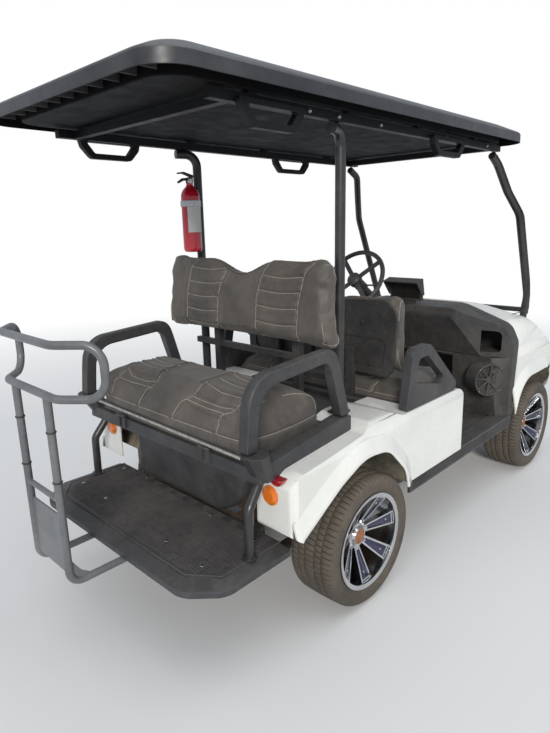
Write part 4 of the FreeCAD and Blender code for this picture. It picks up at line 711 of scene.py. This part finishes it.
def bumper():
    """Moulded lower bumper under the nose, with an air slot. Its rear corners clear the steered tyres."""
    # Place across, front face and rear face. The slot ends between the second and the third.
    half_sections = [(0, 2030, 1900), (190, 2030, 1900), (190, 2030, 1900), (308, 2030, 1900),
                     (352, 2030, 1940), (372, 2027, 1958), (388, 2020, 1972), (398, 2009, 1981),
                     (404, 1998, 1986)]
    shape = Shape()
    rows = []
    for side, order in ((-1, range(len(half_sections) - 1, 0, -1)), (1, range(len(half_sections)))):
        for k in order:
            y, front, rear = half_sections[k]
            slot = front - 34 if k < 2 else front
            corner = min(10, (front - rear) * 0.3)
            brow, lip, back = front - corner, front - corner * 0.3, rear + corner * 0.6
            section = [(rear, 289), (rear, 341), (back, 345), (brow, 345), (lip, 342), (front, 335),
                       (front, 326), (slot, 325.5), (slot, 300.5), (front, 300), (front, 292), (lip, 287),
                       (brow, 285), (back, 285)]
            rows.append([(x, side * y, z) for x, z in section])
    shape.grid(rows, False, True, caps=True)
    shape.made("bumper_shell", "root", ["trim"], "black_trim", 40, "front_bumper")


skirt()
bumper()
extinguisher()
speaker_pods()
step_mat()
tray_strip()
fittings()
for name, (x, side) in WHEELS.items():
    tyre_piece(name, "wheel_" + name, x, side)
    wheel_details(name, "wheel_" + name, x, side)


# Cushions: plain forms, remeshed, swelled as cloth and sewn

def modified(piece, kind, **values):
    with_modifier(piece, kind, **values)
    piece.data = evaluated_mesh(piece)
    piece.modifiers.clear()


def evaluated_mesh(piece):
    return bpy.data.meshes.new_from_object(piece.evaluated_get(bpy.context.evaluated_depsgraph_get()))


def places_of(mesh):
    places = np.empty(len(mesh.vertices) * 3)
    mesh.vertices.foreach_get("co", places)
    return places.reshape(-1, 3)


def normals_of(mesh):
    ways = np.empty(len(mesh.vertices) * 3)
    mesh.vertex_normals.foreach_get("vector", ways)
    return ways.reshape(-1, 3)


def put(piece, places):
    piece.data.vertices.foreach_set("co", places.ravel())
    piece.data.update()


CLOTH_STEPS = 20
VINYL_CLOTH = {"quality": 4, "mass": 0.35, "tension_stiffness": 12, "compression_stiffness": 12,
               "shear_stiffness": 6, "bending_stiffness": 0.6, "use_pressure": True,
               "uniform_pressure_force": 4.0}


def swell(piece, pinned, most):
    """Blows the piece up as cloth round what is pinned; no point moves further than most."""
    start = places_of(piece.data)
    group = piece.vertex_groups.new(name="pin")
    group.add([int(i) for i in np.nonzero(pinned)[0]], 1.0, "REPLACE")
    cloth = with_modifier(piece, "CLOTH")
    for key, value in VINYL_CLOTH.items():
        setattr(cloth.settings, key, value)
    cloth.settings.effector_weights.gravity = 0.0
    cloth.settings.vertex_group_mass = "pin"
    cloth.point_cache.frame_start = 1
    cloth.point_cache.frame_end = CLOTH_STEPS
    for step in range(1, CLOTH_STEPS + 1):
        SCENE.frame_set(step)
    moved = places_of(evaluated_mesh(piece)) - start
    SCENE.frame_set(1)
    piece.modifiers.clear()
    piece.vertex_groups.clear()
    reach = np.linalg.norm(moved, axis=1, keepdims=True)
    put(piece, start + moved * np.minimum(1.0, most / np.maximum(reach, 1e-9)))


def inside(places, low, high, soft=0.009, proud=0.003):
    """Eases points back towards the box from low to high, so that none stands more than proud outside it."""
    middle, half = (low + high) / 2, (high - low) / 2
    start = half + proud - soft
    away = places - middle
    over = np.maximum(0, np.abs(away) - start)
    return middle + np.sign(away) * (np.minimum(np.abs(away), start) + soft * np.tanh(over / soft))


def cad_form(node):
    """A closed copy of a node's solid."""
    source = NODES[node]
    mesh = source.data.copy()
    mesh.transform(source.matrix_world)
    form = bmesh.new()
    form.from_mesh(mesh)
    bmesh.ops.remove_doubles(form, verts=form.verts, dist=1e-6)
    bmesh.ops.triangulate(form, faces=form.faces)
    bmesh.ops.recalc_face_normals(form, faces=form.faces)
    form.to_mesh(mesh)
    form.free()
    mesh.materials.clear()
    return mesh


def block_form(name, low, high, radii):
    """A block with rounded edges. radii: top rear, top front, top ends, upright corners."""
    form = bmesh.new()
    bmesh.ops.create_cube(form, size=1.0)
    for vert in form.verts:
        vert.co = at(*(low[i] if vert.co[i] < 0 else high[i] for i in range(3)))
    weight = form.edges.layers.float.new("bevel_weight_edge")
    most = max(radii)
    for edge in form.edges:
        a, b = (vert.co for vert in edge.verts)
        top = min(a.z, b.z) > at(*low).z + 1e-4
        if abs(a.y - b.y) > 1e-4 and top:
            edge[weight] = radii[0 if a.x < at(*high).x - 1e-4 else 1] / most
        elif abs(a.x - b.x) > 1e-4 and top:
            edge[weight] = radii[2] / most
        elif abs(a.z - b.z) > 1e-4:
            edge[weight] = radii[3] / most
    mesh = bpy.data.meshes.new(name)
    form.to_mesh(mesh)
    form.free()
    piece = linked(name + "_form", mesh)
    modified(piece, "BEVEL", limit_method="WEIGHT", width=most / 1000, segments=8)
    mesh = piece.data
    bpy.data.objects.remove(piece)
    return mesh


def padding(name, mesh, floor, voxel=0.008, inset=0.011, most=0.024):
    """A cushion from a plain form that is remeshed, drawn in, swelled and smoothed. It rests at floor."""
    piece = linked(name, mesh)
    places = places_of(mesh)
    low, high = places.min(axis=0), places.max(axis=0)
    modified(piece, "REMESH", mode="VOXEL", voxel_size=voxel)
    modified(piece, "SMOOTH", factor=0.5, iterations=2)
    places = places_of(piece.data)
    base = at(0, 0, floor)[2]
    share = np.clip((places[:, 2:3] - base) / 0.03, 0, 1)
    put(piece, places - normals_of(piece.data) * inset * share)
    swell(piece, (share < 0.7).ravel(), most)
    modified(piece, "SMOOTH", factor=0.5, iterations=3)
    grown = places_of(piece.data)
    least, span = grown.min(axis=0), np.ptp(grown, axis=0)
    put(piece, inside(low + (grown - least) / span * (high - low), low, high))
    modified(piece, "SUBSURF", levels=1)
    return piece


def mm(values, shift=0.0):
    return values * 1000 - shift


def furrow(piece, distance, facing, depth, width, roll):
    """Presses a sewn channel in. distance gives each point's distance from the seam in millimetres."""
    places, ways = places_of(piece.data), normals_of(piece.data)
    far = distance(mm(places[:, 0], SHIFT), mm(places[:, 1]), mm(places[:, 2]))
    weight = 1.0 if facing is None else np.clip((ways @ np.array(facing) - 0.05) / 0.25, 0, 1)
    press = depth * np.exp(-(far / width) ** 2) - roll * np.exp(-((far - 2.3 * width) / (1.5 * width)) ** 2)
    put(piece, places - ways * (press * weight / 1000)[:, None])


def surface_of(piece):
    mesh = piece.data
    return BVHTree.FromPolygons([v.co for v in mesh.vertices], [tuple(p.vertices) for p in mesh.polygons])


STITCH = 7.0
STITCH_GAP = 1.8
THREAD_R = 1.3
THREAD_LIFT = 0.5
LONGEST_JUMP = 34


def sewn(shape, tree, rays):
    """Runs of stitches where rays (start, direction) meet the surface, broken where they miss or jump."""
    places = []
    for start, way in rays:
        place, normal = tree.ray_cast(at(*start), Vector(way).normalized())[:2]
        spot = None
        if place is not None:
            place = place * 1000 + normal * THREAD_LIFT
            spot = Vector((place.x - SHIFT, place.y, place.z))
        if spot is None or (places and (spot - places[-1]).length > LONGEST_JUMP):
            stitch_run(shape, places)
            places = []
        if spot is not None:
            places.append(spot)
    stitch_run(shape, places)


def stitch_run(shape, places):
    if len(places) < 2:
        return
    ends = [0.0]
    for a, b in zip(places, places[1:]):
        ends.append(ends[-1] + (b - a).length)

    def along(s):
        k = max(1, min(len(ends) - 1, int(np.searchsorted(ends, s))))
        reach = max(ends[k] - ends[k - 1], 1e-6)
        return places[k - 1].lerp(places[k], (s - ends[k - 1]) / reach)

    s = 0.0
    while s + STITCH < ends[-1]:
        shape.tube([along(s), along(s + STITCH / 2), along(s + STITCH)], THREAD_R, 5)
        s += STITCH + STITCH_GAP


def between(y, one, other):
    """How far y lies outside the span from one to the other."""
    return np.maximum(0, np.maximum(np.minimum(one, other) - y, y - np.maximum(one, other)))


def signed_power(value, power):
    return math.copysign(abs(value) ** power, value)


def end_ray(side, x, z):
    return (x, side * 700, z), (0, -side, 0)


def dressed(piece, body, node, shape):
    shape.made(piece.name + "_thread", body, ["thread"], "seat_cover")
    piece.data.materials.clear()
    piece.data.materials.append(MATS["vinyl"])
    piece.data.shade_smooth()
    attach(piece, body)
    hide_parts(node)


# Depth, width and side roll of the sewn channels
SEAT_SEAM = (6.5, 6.5, 2.4)
SEAT_RIB = (4.2, 6.0, 2.0)
SEAT_WELT = (4.0, 5.0, 1.5)
BACK_SEAM = (5.5, 6.0, 2.2)
BACK_RIB = (3.8, 5.5, 1.8)


def seat_cover(name, node, mesh, body, floor, seams, panels, base, corner, **sizes):
    """A seat cushion. Places on it are (way, y): way is the distance ahead of its rear face, less the drop
    below its top. seams are tables of such places. panels are two seams, and the ways where ribs end."""
    piece = padding(name, mesh, floor, **sizes)
    places = places_of(piece.data)
    low, high = mm(places.min(axis=0)), mm(places.max(axis=0))
    x_low, x_high, top = low[0] - SHIFT, high[0] - SHIFT, high[2]

    def seam(index, way):
        ways, ys = zip(*seams[index])
        return np.interp(way, ways, ys)

    def rib(first, second, ends, y):
        left, right = seam(first, ends[0]), seam(second, ends[1])
        share = np.clip((y - left) / (right - left), 0, 1)
        return ends[0] + (ends[1] - ends[0]) * share - 15 * np.sin(np.pi * share)

    def ray(way, y):
        if way > corner:
            spot, out = Vector((x_low + way, y, top)), Vector((0, 0, 1))
        elif way < -corner:
            spot, out = Vector((x_low, y, top + way)), Vector((-1, 0, 0))
        else:
            turn = math.acos(way / (corner * math.sqrt(2))) - math.pi / 4
            out = Vector((-math.sin(turn), 0, math.cos(turn)))
            spot = Vector((x_low + corner, y, top - corner)) + out * corner
        return spot + out * 200, -out

    slope = np.array((-0.45, 0, 0.89))
    for index in range(len(seams)):
        def beside(x, y, z):
            return np.abs(y - seam(index, x - x_low + z - top)) + 200 * (z < base)
        furrow(piece, beside, slope, *SEAT_SEAM)
    for first, second, ribs in panels:
        for ends in ribs:
            def off(x, y, z):
                way = x - x_low + z - top
                beyond = between(y, seam(first, way), seam(second, way))
                return np.abs(way - rib(first, second, ends, y)) + 4 * beyond
            furrow(piece, off, slope, *SEAT_RIB)
    furrow(piece, lambda x, y, z: np.abs(z - base), None, *SEAT_WELT)
    tree = surface_of(piece)
    shape = Shape()
    for index in range(len(seams)):
        ways = np.linspace(base - top, x_high - x_low - 40, 90)
        sewn(shape, tree, [ray(float(way), float(seam(index, way))) for way in ways])
    for first, second, ribs in panels:
        for ends in ribs:
            left, right = float(seam(first, ends[0])), float(seam(second, ends[1]))
            ys = [left + (right - left) * k / 22 for k in range(23)]
            sewn(shape, tree, [ray(float(rib(first, second, ends, y)), y) for y in ys])
    wide = high[1] - 25
    sewn(shape, tree, [((x_low - 200, -wide + 2 * wide * k / 60, base), (1, 0, 0)) for k in range(61)])
    reach = (x_high - x_low) / 2
    arch = [math.radians(176 - k * 172 / 40) for k in range(41)]
    for side in (-1, 1):
        sewn(shape, tree, [end_ray(side, x_low + 30 + (reach - 30) * k / 15, base) for k in range(31)])
        sewn(shape, tree, [end_ray(side, x_low + reach + (reach - 26) * signed_power(math.cos(t), 0.6),
                                   base + (top - base - 26) * signed_power(math.sin(t), 0.6)) for t in arch])
    dressed(piece, body, node, shape)


def back_cover(name, node, body, facing, floor, columns, panels, low, high, valley=None, **sizes):
    """A backrest. columns are its upright seams as (height, place) points. panels are two of them, and the
    sag and heights of the cross lines between."""
    piece = padding(name, cad_form(node), floor, **sizes)

    def seam(index, z):
        heights, ys = zip(*columns[index])
        return np.interp(z, heights, ys)

    way = np.array((facing, 0, 0))
    if valley:
        places, ways = places_of(piece.data), normals_of(piece.data)
        y, z = mm(places[:, 1]), mm(places[:, 2])
        inner = np.clip((seam(valley[0], z) - y) / 26, 0, 1) * np.clip((y - seam(valley[1], z)) / 26, 0, 1)
        weight = np.clip((ways @ way - 0.2) / 0.5, 0, 1)
        places[:, 0] -= facing * 0.008 * inner * weight
        put(piece, places)
    for index in range(len(columns)):
        furrow(piece, lambda x, y, z: np.abs(y - seam(index, z)), way, *BACK_SEAM)
    for first, second, sag, heights in panels:
        for z0 in heights:
            def off(x, y, z):
                left, right = seam(first, z), seam(second, z)
                share = np.clip((y - left) / (right - left), 0, 1)
                return np.abs(z - z0 + sag * np.sin(np.pi * share)) + 4 * between(y, left, right)
            furrow(piece, off, way, *BACK_RIB)
    tree = surface_of(piece)
    shape = Shape()
    start = 1100 if facing > 0 else -900
    for index in range(len(columns)):
        sewn(shape, tree, [((start, float(seam(index, z)), z), -way) for z in np.linspace(low, high, 60)])
    for first, second, sag, heights in panels:
        for z0 in heights:
            left, right = seam(first, z0), seam(second, z0)
            line = [(left + (right - left) * share, z0 - sag * math.sin(math.pi * share))
                    for share in (k / 22 for k in range(23))]
            sewn(shape, tree, [((start, y, z), -way) for y, z in line])
    places = places_of(piece.data)
    least, most = mm(places.min(axis=0)), mm(places.max(axis=0))
    x, half_x = (least[0] + most[0]) / 2 - SHIFT, (most[0] - least[0]) / 2 - 13
    z, half_z = (least[2] + most[2]) / 2, (most[2] - least[2]) / 2 - 18
    loop = turns(56) + [2 * math.pi]
    for side in (-1, 1):
        sewn(shape, tree, [end_ray(side, x + half_x * signed_power(math.cos(t), 0.4),
                                   z + half_z * signed_power(math.sin(t), 0.4)) for t in loop])
    dressed(piece, body, node, shape)


REAR_SEAMS = (
    ((-130, 364), (-86, 362), (-50, 356), (1, 339), (77, 328), (157, 358), (235, 379), (300, 381),
     (400, 381)),
    ((-130, 156), (-106, 154), (-48, 136), (7, 121), (71, 116), (156, 142), (307, 168), (400, 172)),
    ((-120, -60), (-62, -83), (-14, -102), (46, -124), (132, -112), (310, -102), (400, -98)),
    ((-126, -303), (-70, -306), (-40, -327), (22, -364), (106, -360), (200, -322), (310, -276), (400, -258)),
)
FRONT_SEAMS = tuple(((-70, y), (420, y)) for y in (318, 108, -108, -318))
FRONT_RIBS = ((86, 80), (152, 146), (218, 212), (284, 278), (350, 344))
seat_cover("rear_cushion_cover", "rear_seat_cushion",
           block_form("rear_cushion", (-494, -452, 690), (-92, 452, 880), (64, 118, 44, 40)), "rear_seat",
           690, REAR_SEAMS,
           [(0, 1, ((-3, 5), (77, 71), (157, 147), (235, 219), (300, 281))),
            (2, 3, ((-13, -42), (51, 19), (129, 85), (201, 163), (271, 230), (328, 280)))], 757, 64)
seat_cover("front_cushion_cover", "front_seat_cushion", cad_form("front_seat_cushion"), "root", 672,
           FRONT_SEAMS, [(0, 1, FRONT_RIBS), (2, 3, FRONT_RIBS)], 700, 36, voxel=0.0095)
REAR_COLUMNS = (
    ((987, 322), (1150, 318), (1250, 292), (1305, 262)),
    ((987, 117), (1150, 113), (1250, 82), (1305, 42)),
    ((987, -108), (1150, -112), (1250, -138), (1305, -165)),
    ((987, -322), (1150, -328), (1250, -352), (1305, -384)),
)
FRONT_COLUMNS = tuple(((797, y), (1125, y)) for y in (290, 104, -104, -290))
FRONT_LINES = (1080, 1024, 968, 912, 856)
back_cover("rear_back_cover", "rear_seat_back", "root", -1, 930, REAR_COLUMNS,
           [(0, 1, 8, (1260, 1202, 1145, 1086, 1028)), (2, 3, 8, (1243, 1187, 1128, 1067, 1010))], 992, 1296,
           (1, 2))
back_cover("front_back_cover", "front_seat_back", "root", 1, 740, FRONT_COLUMNS,
           [(0, 1, 8, FRONT_LINES), (2, 3, 8, FRONT_LINES)], 806, 1116, voxel=0.0095)

straps = Shape()
for middle in (-260, 260):
    straps.lathe([(0, -10), (6, -10), (6, 10), (0, 10)], (-506, middle, 702), (0, 1, 0), 16)
    straps.box((-485, middle, 697), (44, 20, 4))
straps.made("rear_hinge_straps", "rear_seat", ["frame"], "black_frame")


# Camera, light and floor

def set_camera():
    yaw, pitch, roll, focal = 0.7685979, 0.2488141, -0.0228360, 554.166
    ahead = Vector((math.cos(yaw) * math.cos(pitch), math.sin(yaw) * math.cos(pitch), -math.sin(pitch)))
    right = Vector((math.sin(yaw), -math.cos(yaw), 0))
    up = right.cross(ahead)
    across = right * math.cos(roll) + up * math.sin(roll)
    upward = up * math.cos(roll) - right * math.sin(roll)
    camera = linked("camera", bpy.data.cameras.new("camera"))
    camera.data.sensor_width = 36
    camera.data.lens = focal / 733 * 36
    camera.data.clip_end = 200
    matrix = Matrix((across, upward, -ahead)).transposed().to_4x4()
    matrix.translation = Vector((-2.12244, -1.64837, 1.42226))
    camera.matrix_world = matrix
    bpy.context.scene.camera = camera


def set_light():
    def lamp(name, kind, strength, toward, place=None, size=None, colour=(1, 1, 1)):
        data = bpy.data.lights.new(name, kind)
        data.energy = strength
        data.color = colour
        if kind == "SUN":
            data.angle = math.radians(14)
        else:
            data.shape = "RECTANGLE"
            data.size, data.size_y = size
        lamp_object = linked(name, data)
        lamp_object.rotation_euler = Vector(toward).to_track_quat("-Z", "Y").to_euler()
        if place:
            lamp_object.location = place

    lamp("key", "SUN", 2.1, (0.70, 0.62, -0.42), colour=(1, 0.975, 0.94))
    lamp("top", "AREA", 60, (0.1, 0.1, -1), (-0.8, -1.2, 4.5), (4, 4))
    world = bpy.data.worlds.new("studio")
    bpy.context.scene.world = world
    world.use_nodes = True
    tree = world.node_tree
    plain = tree.nodes["Background"]
    plain.inputs["Color"].default_value = (0.80, 0.88, 1.0, 1)
    plain.inputs["Strength"].default_value = 0.55
    white = tree.nodes.new("ShaderNodeBackground")
    white.inputs["Color"].default_value = (1, 1, 1, 1)
    white.inputs["Strength"].default_value = 1.0
    ray = tree.nodes.new("ShaderNodeLightPath")
    mix = tree.nodes.new("ShaderNodeMixShader")
    tree.links.new(ray.outputs["Is Camera Ray"], mix.inputs["Fac"])
    tree.links.new(plain.outputs["Background"], mix.inputs[1])
    tree.links.new(white.outputs["Background"], mix.inputs[2])
    tree.links.new(mix.outputs["Shader"], tree.nodes["World Output"].inputs["Surface"])


def set_floor():
    mesh = bpy.data.meshes.new("floor")
    mesh.from_pydata([(-40, -40, 0), (40, -40, 0), (40, 40, 0), (-40, 40, 0)], [], [(0, 1, 2, 3)])
    n = Nodes("floor")
    n.set(Base_Color=(0.8, 0.79, 0.77, 1), Roughness=0.9)
    far = n.node("ShaderNodeVectorMath", operation="LENGTH")
    n.link(n.coord, far.inputs[0])
    white = n.node("ShaderNodeEmission", Strength=1.0)
    mix = n.node("ShaderNodeMixShader")
    ray = n.node("ShaderNodeLightPath")
    seen = n.math("MULTIPLY", n.span(far.outputs["Value"], 2.6, 7.0), ray.outputs["Is Camera Ray"])
    n.link(seen, mix.inputs["Fac"])
    n.link(n.bsdf.outputs["BSDF"], mix.inputs[1])
    n.link(white.outputs["Emission"], mix.inputs[2])
    n.link(mix.outputs["Shader"], n.tree.nodes["Material Output"].inputs["Surface"])
    mesh.materials.append(n.mat)
    linked("floor", mesh)


set_camera()
set_light()
set_floor()
bpy.context.scene.view_settings.view_transform = "Standard"
